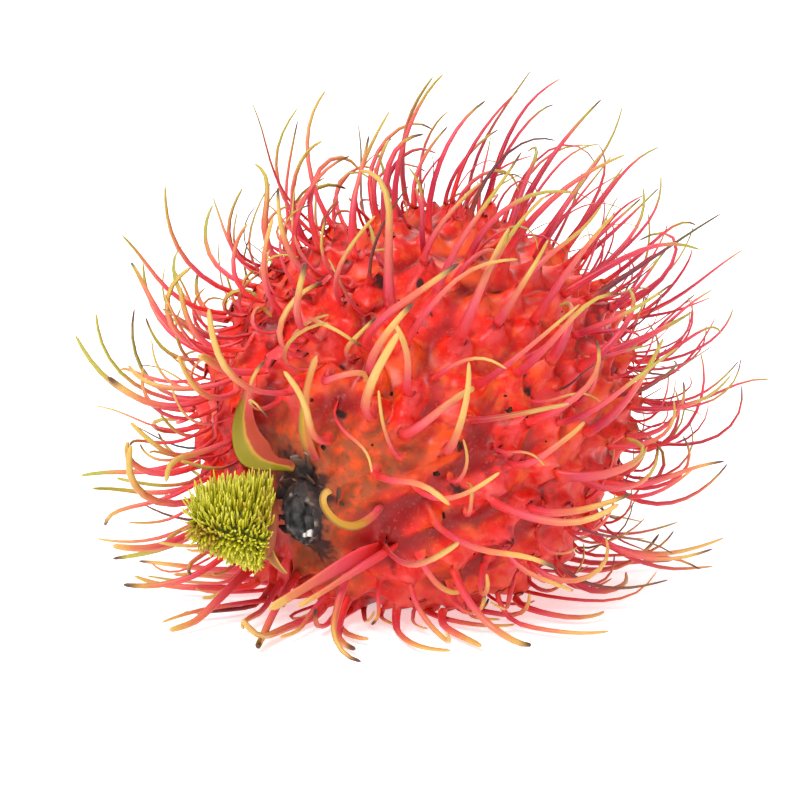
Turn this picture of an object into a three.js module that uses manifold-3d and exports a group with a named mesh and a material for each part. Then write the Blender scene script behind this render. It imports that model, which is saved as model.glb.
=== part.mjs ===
// A whole rambutan, picked and lying on its side: a leathery red rind that grows into soft curved
// spines, the broken woody stalk that it hung by, and the small bristly green fruitlet beside the
// stalk, the twin that never swelled.
// Millimetres, +Z up, the stalk end towards the front (-Y) and left (-X). The origin is the middle
// of the small flat spot that the fruit rests on.
import * as THREE from "three";
import { mergeVertices } from "three/addons/utils/BufferGeometryUtils.js";
import Module from "manifold-3d";

const wasm = await Module();
wasm.setup();

// ---- The body ----
const BODY_LENGTH = 44; // along the fruit's axis, stalk to apex, without spines
const BODY_WIDTH = 38;
const BODY_HEIGHT = 36;
const BODY_DETAIL = 4; // facets: 20 * (detail + 1)^2
const STALK_HEADING = THREE.MathUtils.degToRad(30); // the stalk end's turn from the front to the left
const STALK_DIP = THREE.MathUtils.degToRad(14); // and its dip below level
const REST_DEPTH = 0.8; // how much of the belly the flat spot takes off

// ---- The spines ----
const SPINE_COUNT = 288; // places on the spiral, before the bare ones are left out
const SPINE_SEED = 16;
const SPINE_SIDES = 3;
const SPINE_LENGTH = [12.5, 19.5];
const SPINE_SINK = 1.7; // root below the surface
const SPINE_STEPS = 24; // points that a spine's line is worked out at
const SPINE_RINGS = [0, 4, 9, 16, 24]; // the points that carry a ring of the solid
const SPINE_RADII = [1.7, 0.78, 0.6, 0.45, 0]; // at those rings: a broad foot, a shaft, a point
const PLACE_JITTER = 0.02; // of the spiral's places, as a share of the half length
const TURN_JITTER = 0.1; // and in radians round the axis

// How much the spines bend, in radians. A draw from 0 to 1 picks the place in each range.
const ASIDE = [-0.4, 0.4]; // turn of the bending plane away from the combed way
const CURL = [-0.5, 0.5]; // and its further turn from the foot to the tip
const LEAN = [0.15, 0.6]; // bend at the foot
const BEND = [0.3, 1.1]; // along the whole shaft
const HOOK = [0, 2.2]; // and towards the tip, seldom large
const FOOT_SHARE = 1 / 6; // share of the length in which the lean is reached
const COMBED = new THREE.Vector3(0.64, 0.3, 0.7).normalize(); // the way that the spines lean

const FLOOR_CLEARANCE = 0.75; // lowest that a spine's line runs above the surface
const SPLAY = 0.3; // how much a spine that meets that surface turns outwards at each step
const BARE_ROUND_STALK = 5.2; // no spine of the spiral grows nearer the stalk than this
const BARE_UNDERNEATH = 7.5; // nor nearer the middle of the flat spot
const BARE_ROUND_FRUITLET = 2; // nor nearer the fruitlet's core
const FRUITLET_CLEARANCE = 1.3; // how far a spine's line keeps off the fruitlet's bristles

// The spines that grow close round the stalk, each with its place: degrees round the stalk from
// the left over the top, and millimetres away from the stalk's axis. Stout multiplies the radii,
// and the bends are named as above.
const STALK_SPINES = [
  // a broad scale that curves left, up and back to the right
  {
    round: 61, away: 4.7, length: 17.5, stout: 1.7,
    aside: 1.25, curl: -2.8, lean: 1.25, bend: 1.9, hook: -1.5,
  },
  // a thick hook that curls over the stalk's right side
  {
    round: 178, away: 7.1, length: 13, stout: 1.2,
    aside: 3.2, curl: -1.7, lean: 0.25, bend: 0.35, hook: 2.4,
  },
  // a slim upright one above the stalk
  {
    round: 103, away: 4.6, length: 12.5, stout: 1,
    aside: 0.45, curl: -0.8, lean: 1, bend: 0.65, hook: -0.5,
  },
  // a broad one that hangs down to the left
  {
    round: 209, away: 8.1, length: 13.3, stout: 1.3,
    aside: -2.85, curl: 0.3, lean: 1, bend: -0.3, hook: 0.3,
  },
];

// ---- The stalk and the fruitlet ----
const STUB_RADIUS = 3;
const STUB_SINK = 1.4;
const STUB_HEIGHT = 1.9; // above the rind
const STUB_SIDES = 14;
const DISH_RADIUS = 2.2; // the hollow, broken end
const DISH_DEPTH = 1.3;

const FRUITLET_OUT = 1.9; // its foot, from the stalk's foot: out along the stalk,
const FRUITLET_LEFT = 3.4; // to the stalk's left,
const FRUITLET_DOWN = 1.35; // and down
const FRUITLET_WAY = new THREE.Vector3(-0.97, -0.17, 0.15).normalize();
const FRUITLET_LENGTH = 7.8;
const FRUITLET_RADIUS = 3.3; // of its core, at the end by the stalk
const FRUITLET_TIP_RADIUS = 0.9;
const FRUITLET_SIDES = 10;
const BRISTLE_COUNT = 84;
const BRISTLE_SEED = 77;
const BRISTLE_LENGTH = 1.5; // out of the core
const BRISTLE_SINK = 0.7;
const BRISTLE_RADIUS = 0.42;
const GAP = 0.3; // between pieces that touch

const RED = new THREE.MeshStandardMaterial({ color: 0xd8303a, roughness: 0.48, metalness: 0 });
const WOOD = new THREE.MeshStandardMaterial({ color: 0x2e2220, roughness: 0.75, metalness: 0 });
const GREEN = new THREE.MeshStandardMaterial({ color: 0x9aab1e, roughness: 0.6, metalness: 0 });

// ---- The fruit's own directions, and where its middle is ----
const UP = new THREE.Vector3(0, 0, 1);
const STALKWARD = new THREE.Vector3(
  -Math.sin(STALK_HEADING) * Math.cos(STALK_DIP),
  -Math.cos(STALK_HEADING) * Math.cos(STALK_DIP),
  -Math.sin(STALK_DIP),
);
const APEXWARD = STALKWARD.clone().negate();
const ACROSS = new THREE.Vector3().crossVectors(UP, APEXWARD).normalize();
const OVER = new THREE.Vector3().crossVectors(APEXWARD, ACROSS);
const HALF_LENGTH = BODY_LENGTH / 2;
const HALF_WIDTH = BODY_WIDTH / 2;
const HALF_HEIGHT = BODY_HEIGHT / 2;
const SUPPORT = supportPoint(UP.clone().negate()); // the belly's lowest point, from the middle
const CENTRE = new THREE.Vector3(-SUPPORT.x, -SUPPORT.y, -SUPPORT.z - REST_DEPTH);
const STALK_FOOT = CENTRE.clone().addScaledVector(STALKWARD, HALF_LENGTH);
const FRUITLET_FOOT = STALK_FOOT.clone()
  .addScaledVector(STALKWARD, FRUITLET_OUT)
  .addScaledVector(ACROSS, FRUITLET_LEFT)
  .addScaledVector(OVER, -FRUITLET_DOWN);
const GOLDEN_ANGLE = Math.PI * (3 - Math.sqrt(5));

// The fruit's own (across, over, along) as a direction in the part's frame.
function fromFruit(across, over, along) {
  return new THREE.Vector3()
    .addScaledVector(ACROSS, across)
    .addScaledVector(OVER, over)
    .addScaledVector(APEXWARD, along);
}

// The point of the body that reaches furthest in a direction, from the body's middle.
function supportPoint(direction) {
  const across = direction.dot(ACROSS) * HALF_WIDTH ** 2;
  const over = direction.dot(OVER) * HALF_HEIGHT ** 2;
  const along = direction.dot(APEXWARD) * HALF_LENGTH ** 2;
  const reach = Math.hypot(across / HALF_WIDTH, over / HALF_HEIGHT, along / HALF_LENGTH);
  return fromFruit(across / reach, over / reach, along / reach);
}

// Repeatable draws from 0 to 1 (Park and Miller's generator).
function draws(seed) {
  let state = seed;
  return () => {
    state = (state * 16807) % 2147483647;
    return state / 2147483647;
  };
}

// ---- Solids ----
function solidOf(geometry) {
  const bare = geometry.clone();
  bare.deleteAttribute("normal");
  bare.deleteAttribute("uv");
  const merged = mergeVertices(bare, 1e-4);
  return new wasm.Manifold(
    new wasm.Mesh({
      numProp: 3,
      vertProperties: new Float32Array(merged.attributes.position.array),
      triVerts: new Uint32Array(merged.index.array),
    }),
  );
}

function meshOf(solid, name, material) {
  const { vertProperties, triVerts } = solid.getMesh();
  const geometry = new THREE.BufferGeometry()
    .setAttribute("position", new THREE.BufferAttribute(new Float32Array(vertProperties), 3))
    .setIndex(new THREE.BufferAttribute(new Uint32Array(triVerts), 1));
  geometry.computeVertexNormals();
  const mesh = new THREE.Mesh(geometry, material);
  mesh.name = name;
  return mesh;
}

// The bare body: an ellipsoid, grown outwards by extra.
function bodySolid(extra = 0) {
  const axes = new THREE.Matrix4()
    .makeBasis(ACROSS, OVER, APEXWARD)
    .setPosition(CENTRE)
    .scale(new THREE.Vector3(HALF_WIDTH + extra, HALF_HEIGHT + extra, HALF_LENGTH + extra));
  return solidOf(new THREE.IcosahedronGeometry(1, BODY_DETAIL).applyMatrix4(axes));
}

// The outer skin alone: a hollow that the fusing sealed is filled, and a loose scrap is dropped.
function outerSkin(solid) {
  return solid.decompose().reduce((most, body) => (body.volume() > most.volume() ? body : most));
}

// Places a solid of revolution, made round +Y, with its foot at a point and its axis in a direction.
function stand(geometry, foot, direction) {
  const turn = new THREE.Quaternion().setFromUnitVectors(new THREE.Vector3(0, 1, 0), direction);
  return geometry.applyMatrix4(new THREE.Matrix4().compose(foot, turn, new THREE.Vector3(1, 1, 1)));
}

function turned(outline, sides) {
  return new THREE.LatheGeometry(outline.map(([radius, y]) => new THREE.Vector2(radius, y)), sides);
}

// Everything under the surface that the fruit lies on.
function belowFloor() {
  const depth = BODY_HEIGHT;
  const box = new THREE.BoxGeometry(4 * BODY_LENGTH, 4 * BODY_LENGTH, depth);
  box.translate(0, 0, -depth / 2);
  return solidOf(box);
}

// ---- The stalk's stub: a short plug with a rounded rim and a dished, broken end ----
function stubSolid(extra = 0) {
  const radius = STUB_RADIUS + extra;
  const bottom = -STUB_SINK - extra;
  const outline = [
    [0, bottom],
    [radius * 0.9, bottom],
    [radius, 0],
    [radius * 0.92, STUB_HEIGHT * 0.7],
    [radius * 0.8, STUB_HEIGHT],
    [DISH_RADIUS, STUB_HEIGHT],
    [DISH_RADIUS * 0.6, STUB_HEIGHT - DISH_DEPTH],
    [0, STUB_HEIGHT - DISH_DEPTH],
  ];
  return solidOf(stand(turned(outline, STUB_SIDES), STALK_FOOT, STALKWARD));
}

// ---- The fruitlet, on the stalk's left, lying out sideways ----
// A cone with a full, rounded outline and a flat end by the stalk.
function fruitletCore() {
  const outline = [
    [0, 0],
    [FRUITLET_RADIUS * 0.96, 0],
    [FRUITLET_RADIUS, FRUITLET_LENGTH * 0.15],
    [FRUITLET_RADIUS * 0.8, FRUITLET_LENGTH * 0.45],
    [FRUITLET_RADIUS * 0.53, FRUITLET_LENGTH * 0.75],
    [FRUITLET_TIP_RADIUS, FRUITLET_LENGTH * 0.95],
    [0, FRUITLET_LENGTH],
  ];
  return turned(outline, FRUITLET_SIDES);
}

// Radius of the core's outline at a share of its length.
function fruitletRadius(share) {
  return THREE.MathUtils.lerp(FRUITLET_RADIUS, FRUITLET_TIP_RADIUS, share ** 1.3);
}

// Bristles on a golden spiral from the stalk's end to the tip, leaning more and more outwards
// along the axis. The last stands straight out of the tip.
function bristleSolid(index, draw) {
  const share = 0.04 + 0.9 * (index / (BRISTLE_COUNT - 1)) ** 1.1;
  const angle = index * GOLDEN_ANGLE;
  const outward = new THREE.Vector3(Math.cos(angle), 0, Math.sin(angle));
  const lean = 0.15 + 0.9 * share ** 2 + 0.25 * (draw() - 0.5);
  const way = outward.clone().addScaledVector(new THREE.Vector3(0, 1, 0), lean).normalize();
  const foot = outward.multiplyScalar(fruitletRadius(share) - BRISTLE_SINK);
  foot.y = share * FRUITLET_LENGTH - 0.3;
  const length = BRISTLE_SINK + BRISTLE_LENGTH * (0.8 + 0.4 * draw());
  const bristle = new THREE.ConeGeometry(BRISTLE_RADIUS, length, 3);
  bristle.translate(0, length / 2, 0);
  return solidOf(stand(bristle, foot, way));
}

function fruitletSolid() {
  const draw = draws(BRISTLE_SEED);
  const bristles = Array.from({ length: BRISTLE_COUNT }, (_, index) => bristleSolid(index, draw));
  const fused = wasm.Manifold.union([solidOf(fruitletCore()), ...bristles]);
  const placed = stand(meshOf(fused, "fruitlet", GREEN).geometry, FRUITLET_FOOT, FRUITLET_WAY);
  return outerSkin(solidOf(placed).subtract(bodySolid(GAP)).subtract(stubSolid(GAP)));
}

// The nearest point of the fruitlet's axis, and how far it is.
function nearestOnFruitlet(point) {
  const along = point.clone().sub(FRUITLET_FOOT).dot(FRUITLET_WAY);
  const clamped = THREE.MathUtils.clamp(along, 0, FRUITLET_LENGTH);
  const nearest = FRUITLET_FOOT.clone().addScaledVector(FRUITLET_WAY, clamped);
  return { nearest, distance: nearest.distanceTo(point) };
}

// ---- The spines ----
// The surface's point at a share of the half length from the middle towards the apex, and at an
// angle round the axis from ACROSS towards OVER, with the way out of the surface there. A spine
// there leans over in the plane of that way and the given one, whose normal is its side, and sway
// is how far the two ways stand apart.
function rootAt(along, angle, leanWay) {
  const ring = Math.sqrt(Math.max(0, 1 - along * along));
  const across = ring * Math.cos(angle);
  const over = ring * Math.sin(angle);
  const root = fromFruit(HALF_WIDTH * across, HALF_HEIGHT * over, HALF_LENGTH * along).add(CENTRE);
  const out = fromFruit(across / HALF_WIDTH, over / HALF_HEIGHT, along / HALF_LENGTH).normalize();
  const side = new THREE.Vector3().crossVectors(out, leanWay);
  return { root, out, side: side.clone().normalize(), sway: side.length() };
}

// Places on a golden spiral from the stalk to the apex, with each spine's length and bends.
function spiralSpines() {
  const draw = draws(SPINE_SEED);
  const within = ([low, high], share) => THREE.MathUtils.lerp(low, high, share);
  const spines = [];
  for (let i = 0; i < SPINE_COUNT; i += 1) {
    const along = -1 + (2 * i + 1) / SPINE_COUNT + (draw() - 0.5) * PLACE_JITTER;
    const angle = i * GOLDEN_ANGLE + (draw() - 0.5) * TURN_JITTER;
    spines.push({
      ...rootAt(along, angle, COMBED),
      stout: 1,
      length: within(SPINE_LENGTH, draw()),
      aside: within(ASIDE, draw()),
      curl: within(CURL, draw()),
      lean: within(LEAN, draw()),
      bend: within(BEND, draw()),
      hook: within(HOOK, draw() ** 3),
    });
  }
  return spines.filter(grows);
}

function grows({ root }) {
  const nearStalk = root.distanceTo(STALK_FOOT) < BARE_ROUND_STALK;
  const underneath = root.z < HALF_HEIGHT / 2 && Math.hypot(root.x, root.y) < BARE_UNDERNEATH;
  const nearFruitlet = nearestOnFruitlet(root).distance < FRUITLET_RADIUS + BARE_ROUND_FRUITLET;
  return !nearStalk && !underneath && !nearFruitlet;
}

function stalkSpines() {
  return STALK_SPINES.map((spine) => {
    const along = -Math.sqrt(1 - (spine.away / HALF_WIDTH) ** 2);
    const place = rootAt(along, THREE.MathUtils.degToRad(spine.round), APEXWARD);
    return { ...spine, ...place, sway: 1 };
  });
}

// A spine's line, from its sunk root to its tip. It leaves along the surface's normal, leans over
// or aside, slides outwards where it meets the surface that the fruit lies on, and keeps clear of
// the fruitlet.
function spineLine(spine) {
  const forth = new THREE.Vector3().crossVectors(spine.side, spine.out);
  const level = new THREE.Vector3(spine.out.x, spine.out.y, 0);
  const step = (spine.length + SPINE_SINK) / SPINE_STEPS;
  const keep = FRUITLET_RADIUS + BRISTLE_LENGTH + FRUITLET_CLEARANCE;
  const point = spine.root.clone().addScaledVector(spine.out, -SPINE_SINK);
  const points = [point.clone()];
  for (let k = 1; k <= SPINE_STEPS; k += 1) {
    const t = (k - 0.5) / SPINE_STEPS;
    const leaning = Math.min(1, t / FOOT_SHARE) * spine.lean + t * spine.bend;
    const turn = leaning * spine.sway + t ** 3 * spine.hook;
    const plane = spine.aside + t * spine.curl;
    const way = spine.out.clone().multiplyScalar(Math.cos(turn));
    way.addScaledVector(forth, Math.sin(turn) * Math.cos(plane));
    way.addScaledVector(spine.side, Math.sin(turn) * Math.sin(plane));
    if (point.z + way.z * step < FLOOR_CLEARANCE && way.z < 0) {
      way.z = 0;
      way.addScaledVector(level, SPLAY).normalize();
    }
    point.addScaledVector(way, step);
    const { nearest, distance } = nearestOnFruitlet(point);
    if (distance < keep) {
      point.addScaledVector(point.clone().sub(nearest).normalize(), keep - distance);
    }
    points.push(point.clone());
  }
  return points;
}

// A tapering tube of few sides along the line: a cone whose rings are carried to the line's points.
function spineSolid(spine) {
  const line = spineLine(spine);
  const rings = SPINE_RINGS.length - 1;
  const geometry = new THREE.ConeGeometry(1, 1, SPINE_SIDES, rings);
  const position = geometry.attributes.position;
  const vertex = new THREE.Vector3();
  for (let i = 0; i < position.count; i += 1) {
    vertex.fromBufferAttribute(position, i);
    const ring = Math.round((vertex.y + 0.5) * rings);
    const isCapMiddle = Math.hypot(vertex.x, vertex.z) < 1e-6;
    const radius = isCapMiddle ? 0 : SPINE_RADII[ring] * spine.stout;
    const angle = Math.atan2(vertex.z, vertex.x);
    const k = SPINE_RINGS[ring];
    const way = new THREE.Vector3()
      .subVectors(line[Math.min(SPINE_STEPS, k + 1)], line[Math.max(0, k - 1)])
      .normalize();
    const side = new THREE.Vector3().crossVectors(way, APEXWARD).normalize();
    const other = new THREE.Vector3().crossVectors(side, way);
    vertex
      .copy(line[k])
      .addScaledVector(side, radius * Math.cos(angle))
      .addScaledVector(other, radius * Math.sin(angle));
    position.setXYZ(i, vertex.x, vertex.y, vertex.z);
  }
  return solidOf(geometry);
}

function rindSolid() {
  const spines = [...spiralSpines(), ...stalkSpines()];
  const fused = wasm.Manifold.union([bodySolid(), ...spines.map(spineSolid)]);
  return outerSkin(fused.subtract(belowFloor()).subtract(stubSolid(GAP)));
}

// ---- The fruit ----
const fruit = new THREE.Group();
fruit.add(
  meshOf(rindSolid(), "rind", RED),
  meshOf(stubSolid(), "stalk_stub", WOOD),
  meshOf(fruitletSolid(), "fruitlet", GREEN),
);
export default fruit;
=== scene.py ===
"""A ripe rambutan: its hairy red rind, the broken stalk, and the unripe fruitlet beside it.

Lengths are in millimetres until a piece is finished, which scales its mesh to metres.
"""

import math

import bmesh
import bpy
import numpy as np
from bpy.props import FloatProperty, FloatVectorProperty, IntProperty, PointerProperty
from mathutils import Matrix, Vector, noise
from mathutils.bvhtree import BVHTree
from mathutils.kdtree import KDTree


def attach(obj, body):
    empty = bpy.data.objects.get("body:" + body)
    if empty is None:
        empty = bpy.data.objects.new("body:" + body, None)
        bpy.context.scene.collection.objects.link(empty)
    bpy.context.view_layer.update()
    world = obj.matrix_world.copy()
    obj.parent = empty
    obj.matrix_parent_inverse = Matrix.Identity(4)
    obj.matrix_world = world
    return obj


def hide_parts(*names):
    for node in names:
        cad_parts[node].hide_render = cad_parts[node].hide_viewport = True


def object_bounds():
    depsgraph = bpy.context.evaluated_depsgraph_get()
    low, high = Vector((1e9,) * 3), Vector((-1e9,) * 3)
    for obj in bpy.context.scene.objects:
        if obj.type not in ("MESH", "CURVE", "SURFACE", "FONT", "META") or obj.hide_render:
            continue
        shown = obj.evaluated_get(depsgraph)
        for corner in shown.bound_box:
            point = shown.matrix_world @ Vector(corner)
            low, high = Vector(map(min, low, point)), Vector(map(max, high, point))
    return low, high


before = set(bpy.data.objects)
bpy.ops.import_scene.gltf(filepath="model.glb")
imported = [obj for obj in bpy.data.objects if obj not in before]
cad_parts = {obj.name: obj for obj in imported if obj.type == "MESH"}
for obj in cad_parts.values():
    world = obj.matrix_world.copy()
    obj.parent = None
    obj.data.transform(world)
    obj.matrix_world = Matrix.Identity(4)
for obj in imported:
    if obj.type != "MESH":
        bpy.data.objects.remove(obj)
CAD_BOX = [list(corner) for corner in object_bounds()]

bl_info = {
    "name": "Rambutan",
    "version": (1, 0, 0),
    "blender": (4, 5, 0),
    "location": "3D View > Sidebar > Rambutan",
    "description": "A ripe rambutan with its stalk's stub and one unripe fruitlet",
    "category": "Object",
}

MM = 0.001

# ---- The solids' own numbers: the body, and the spines' golden spiral ----

HALF_WIDTH = 19.0
HALF_HEIGHT = 18.0
HALF_LENGTH = 22.0
STALK_HEADING = math.radians(30)
STALK_DIP = math.radians(14)
REST_DEPTH = 0.8

SPINE_COUNT = 288
SPINE_SEED = 16
# What a spine draws by lot: the two ends, and any power that favours the first of them.
SPINE_LOTS = {
    "length": (12.5, 19.5), "aside": (-0.4, 0.4), "curl": (-0.5, 0.5),
    "lean": (0.15, 0.6), "bend": (0.3, 1.1), "hook": (0.0, 2.2, 3),
}
SPINE_SINK = 1.7
SPINE_STEPS = 24
PLACE_JITTER = 0.02
TURN_JITTER = 0.1
FOOT_SHARE = 1 / 6
COMBED = Vector((0.64, 0.3, 0.7)).normalized()  # the way that the spines lean
FLOOR_CLEARANCE = 0.75
SPLAY = 0.3
BARE_ROUND_STALK = 5.2
BARE_UNDERNEATH = 7.5
BARE_ROUND_FRUITLET = 2.0
FRUITLET_CLEARANCE = 1.3

STUB_RADIUS = 3.0
STUB_SINK = 1.4
STUB_HEIGHT = 1.9
PIT_RADIUS = 2.2
PIT_DEPTH = 1.3

FRUITLET_OUT = 1.9
FRUITLET_LEFT = 3.4
FRUITLET_DOWN = 1.35
FRUITLET_WAY = Vector((-0.97, -0.17, 0.15)).normalized()
FRUITLET_LENGTH = 7.8
FRUITLET_RADIUS = 3.3
FRUITLET_TIP_RADIUS = 0.9
BRISTLE_REACH = 1.5

GOLDEN_ANGLE = math.pi * (3 - math.sqrt(5))

UP = Vector((0, 0, 1))
STALKWARD = Vector((
    -math.sin(STALK_HEADING) * math.cos(STALK_DIP),
    -math.cos(STALK_HEADING) * math.cos(STALK_DIP),
    -math.sin(STALK_DIP),
))
APEXWARD = -STALKWARD
ACROSS = UP.cross(APEXWARD).normalized()
OVER = APEXWARD.cross(ACROSS)


def from_fruit(across, over, along):
    """The fruit's own (across, over, along) as a direction of the model."""
    return ACROSS * across + OVER * over + APEXWARD * along


def support_point(direction):
    """The body's point that reaches furthest in a direction, from the body's middle."""
    across = direction.dot(ACROSS) * HALF_WIDTH**2
    over = direction.dot(OVER) * HALF_HEIGHT**2
    along = direction.dot(APEXWARD) * HALF_LENGTH**2
    reach = math.hypot(across / HALF_WIDTH, over / HALF_HEIGHT, along / HALF_LENGTH)
    return from_fruit(across / reach, over / reach, along / reach)


SUPPORT = support_point(-UP)
CENTRE = Vector((-SUPPORT.x, -SUPPORT.y, -SUPPORT.z - REST_DEPTH))
STALK_FOOT = CENTRE + STALKWARD * HALF_LENGTH
FRUITLET_FOOT = (
    STALK_FOOT + STALKWARD * FRUITLET_OUT + ACROSS * FRUITLET_LEFT - OVER * FRUITLET_DOWN
)

# The spines round the stalk: the angle round it, how far from it the root is, and the bends.
# "wide" and "thick" are half sizes of the cross-section, "foot" and "tip" the shares of the width
# that are left there, "end" how far the tip curls over to the right, in radians, and "shift" how
# far the spine is moved across, over and along the fruit. "kind" is 0 for green and pink, 0.5 for
# straw yellow and 1 for pink.
STALK_SPINE = {"kind": 1.0, "cup": 0.4, "roll": 0.2, "foot": 0.5, "tip": 0.5, "end": 0.0,
               "shift": (0, 0, 0)}  # what a spine below has where it says nothing else
STALK_SPINES = [
    # a broad green scale that curves left, up and back to the right
    {"round": 61, "away": 4.7, "length": 17.5, "aside": 1.25, "curl": -2.8, "lean": 1.25,
     "bend": 1.9, "hook": -1.5, "wide": 1.7, "thick": 0.28, "cup": 0.35, "roll": 0.6,
     "kind": 0.0, "foot": 0.35, "tip": 0.17, "shift": (-0.7, 0.2, -1.2)},
    # a thick yellow hook that curls over the stalk's right side
    {"round": 178, "away": 7.1, "length": 13, "aside": 3.2, "curl": -1.7, "lean": 0.25,
     "bend": 0.35, "hook": 2.4, "wide": 0.47, "thick": 0.34, "cup": 0.5, "roll": 0.0,
     "kind": 0.5, "foot": 0.9, "tip": 0.75, "end": 4.2, "shift": (0, 0, -0.3)},
    # a slim upright one above the stalk
    {"round": 103, "away": 4.6, "length": 12.5, "aside": 0.45, "curl": -0.8, "lean": 1,
     "bend": 0.65, "hook": -0.5, "wide": 0.65, "thick": 0.35, "cup": 0.3, "kind": 0.3,
     "foot": 1.0, "shift": (0, 0, -0.3)},
    # a broad pink one that hangs down to the left
    {"round": 209, "away": 8.1, "length": 13.3, "aside": -2.85, "curl": 0.3, "lean": 1,
     "bend": -0.3, "hook": 0.3, "wide": 0.9, "thick": 0.4, "roll": 0.3},
]
# Two more that the solids leave out, as they do the finer spines.
FINE_STALK_SPINES = [
    {"round": 205, "away": 9.4, "length": 12, "aside": -2.75, "curl": 0.1, "lean": 1.05,
     "bend": -0.25, "hook": 0.3, "wide": 0.65, "thick": 0.3, "roll": -0.3},
    {"round": 305, "away": 8.2, "length": 10.5, "aside": 0.2, "curl": 0.3, "lean": 1.0,
     "bend": 0.3, "hook": 0.3, "wide": 0.85, "thick": 0.3, "tip": 0.6},
]

# Dark dried scars on the skin: where each shows in the view from the stalk's side, in pixels to
# the right and down, and its width.
VIEW_PIXEL = 0.194
VIEW_MIDDLE = (390, 288)  # the pixel that the body's middle is behind
SCARS = [
    (360, 238, 0.9), (380, 234, 0.7), (420, 231, 0.9), (372, 244, 0.4),
    (389, 249, 0.4), (351, 209, 0.7), (430, 206, 0.9), (377, 277, 0.8),
    (432, 286, 1.3), (430, 278, 0.7), (343, 302, 1.0), (366, 302, 0.5),
    (398, 316, 1.4), (390, 319, 0.6), (337, 280, 0.8), (345, 250, 0.3),
    (360, 267, 0.4), (400, 336, 1.1), (299, 258, 0.7), (310, 237, 0.7),
    (296, 300, 0.6), (455, 240, 0.5), (448, 300, 0.5), (415, 352, 0.6),
    (360.5, 355, 0.7), (470, 330, 0.6), (385, 372, 0.7),
]

# ---- What a user may change ----


def linear(hex_code):
    """An sRGB hex colour as linear red, green and blue."""
    channels = [int(hex_code[i : i + 2], 16) / 255 for i in (1, 3, 5)]
    return tuple(c / 12.92 if c <= 0.04045 else ((c + 0.055) / 1.055) ** 2.4 for c in channels)


def colour(name, hex_code, description):
    return FloatVectorProperty(
        name=name, description=description, subtype="COLOR", size=3, min=0, max=1,
        default=linear(hex_code),
    )


def size(name, millimetres, description):
    return FloatProperty(
        name=name, description=description, unit="LENGTH", precision=5, min=0,
        default=millimetres * MM,
    )


def count(name, default, description):
    return IntProperty(name=name, description=description, min=2, max=2500, default=default)


class RambutanSizes(bpy.types.PropertyGroup):
    """Sizes that the looks add to the solids'."""

    mound_height: size("Mound height", 1.0, "How far the skin rises round each spine's foot")
    spine_width: size("Spine width", 0.98, "Width of a stout spine at half its length")
    tip_width: size("Tip width", 0.46, "Width of a stout spine close to its tip")
    fine_spines: count("Fine spines", 1500, "Thin short spines tried between the main ones")
    bristles: count("Bristles", 1000, "Soft bristles on the fruitlet")
    bristle_width: size("Bristle width", 0.27, "Width of a bristle at its foot")


class RambutanColours(bpy.types.PropertyGroup):
    """Colours of the rind, the stalk and the fruitlet."""

    rind_red: colour("Rind red", "#DA2012", "The ripe skin")
    rind_orange: colour("Rind orange", "#E4521A", "Paler patches of the ripe skin")
    # the deep red of the darker blotches, and painted shade in the hollows between the mounds
    rind_deep_and_hollow_shade: colour("Rind shade", "#8A060C", "The skin in its hollows")
    # painted sheen on the mounds' tops, and the pink of the rosy patches, partly the skin's own
    # coral and partly painted sheen
    rind_pink_and_sheen: colour("Rind pink", "#E2545E", "The waxy tops of the mounds")
    spine_pink: colour("Spine pink", "#D64C5A", "A spine's middle")
    spine_salmon: colour("Spine salmon", "#CF7850", "Where a spine turns from pink to yellow")
    spine_yellow: colour("Spine yellow", "#D0A458", "A spine's tip")
    spine_green: colour("Spine green", "#A4A03C", "A greener spine's upper part")
    spine_crimson: colour("Spine crimson", "#B01A38", "A darker spine's middle")
    spine_olive: colour("Spine olive", "#A59A3E", "A darker spine's tip")
    spine_dry: colour("Dried spine", "#33262A", "A spine that has dried out")
    scale_green: colour("Scale green", "#8A7E04", "The leafy scale by the stalk")
    scale_inner: colour("Scale inside", "#A8402A", "The inner side of the leafy scale")
    scale_gold: colour("Scale gold", "#BE8E30", "The hook by the stalk, and the scale's edge")
    sap: colour("White beads", "#FFF8F2", "The two beads in the stub's hollow")
    pit_dark: colour("Pit dark", "#1A181B", "The stub's hollow")
    # the grey is partly dried juice in the hollow and partly painted reflection on its shine
    pit_grey_and_reflection: colour("Pit grey", "#55504F", "Dried sap in the stub's hollow")
    scrap_grey: colour("Scrap grey", "#8E857E", "Torn ends of the dead scraps")
    scuff: colour("Scuffed skin", "#9C4E28", "Corky skin beside the stalk")
    wood_and_shade: colour("Stalk", "#211715", "The stub's bark")
    wood_pale: colour("Stalk's edge", "#5E3D2A", "Worn edges of the bark")
    fruitlet_green: colour("Fruitlet green", "#BCB81E", "The bristles' upper halves")
    fruitlet_pale: colour("Fruitlet tips", "#D2CC4A", "The bristles' tips")
    # painted shade on the fruitlet's core and at the bristles' feet
    fruitlet_painted_shade: colour("Fruitlet shade", "#6A7012", "Between the bristles")
    floor: colour("Floor", "#FBFBFC", "The white paper that the fruit lies on")
    floor_fibre: colour("Floor fibres", "#F6F6F8", "The paper's darker fibres")


# ---- Small helpers ----


def lerp(low, high, share):
    return low + (high - low) * share


class Lots:
    """Repeatable draws between two ends (Park and Miller's generator)."""

    def __init__(self, seed):
        self.state = seed

    def __call__(self, low=0.0, high=1.0, power=1):
        self.state = self.state * 16807 % 2147483647
        return lerp(low, high, (self.state / 2147483647) ** power)


def by_lot(draw, lots):
    return {name: draw(*lot) for name, lot in lots.items()}


def smooth(low, high, value):
    """A soft step from 0 at low to 1 at high."""
    share = min(1.0, max(0.0, (value - low) / (high - low)))
    return share * share * (3 - 2 * share)


def square_to(side, way):
    """The part of a side that is square to a way, at length 1."""
    return (side - way * side.dot(way)).normalized()


def upright(foot, way):
    """The turn and place that carry the Z axis to a way at a foot."""
    return Matrix.Translation(foot) @ way.to_track_quat("Z", "Y").to_matrix().to_4x4()


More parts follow.
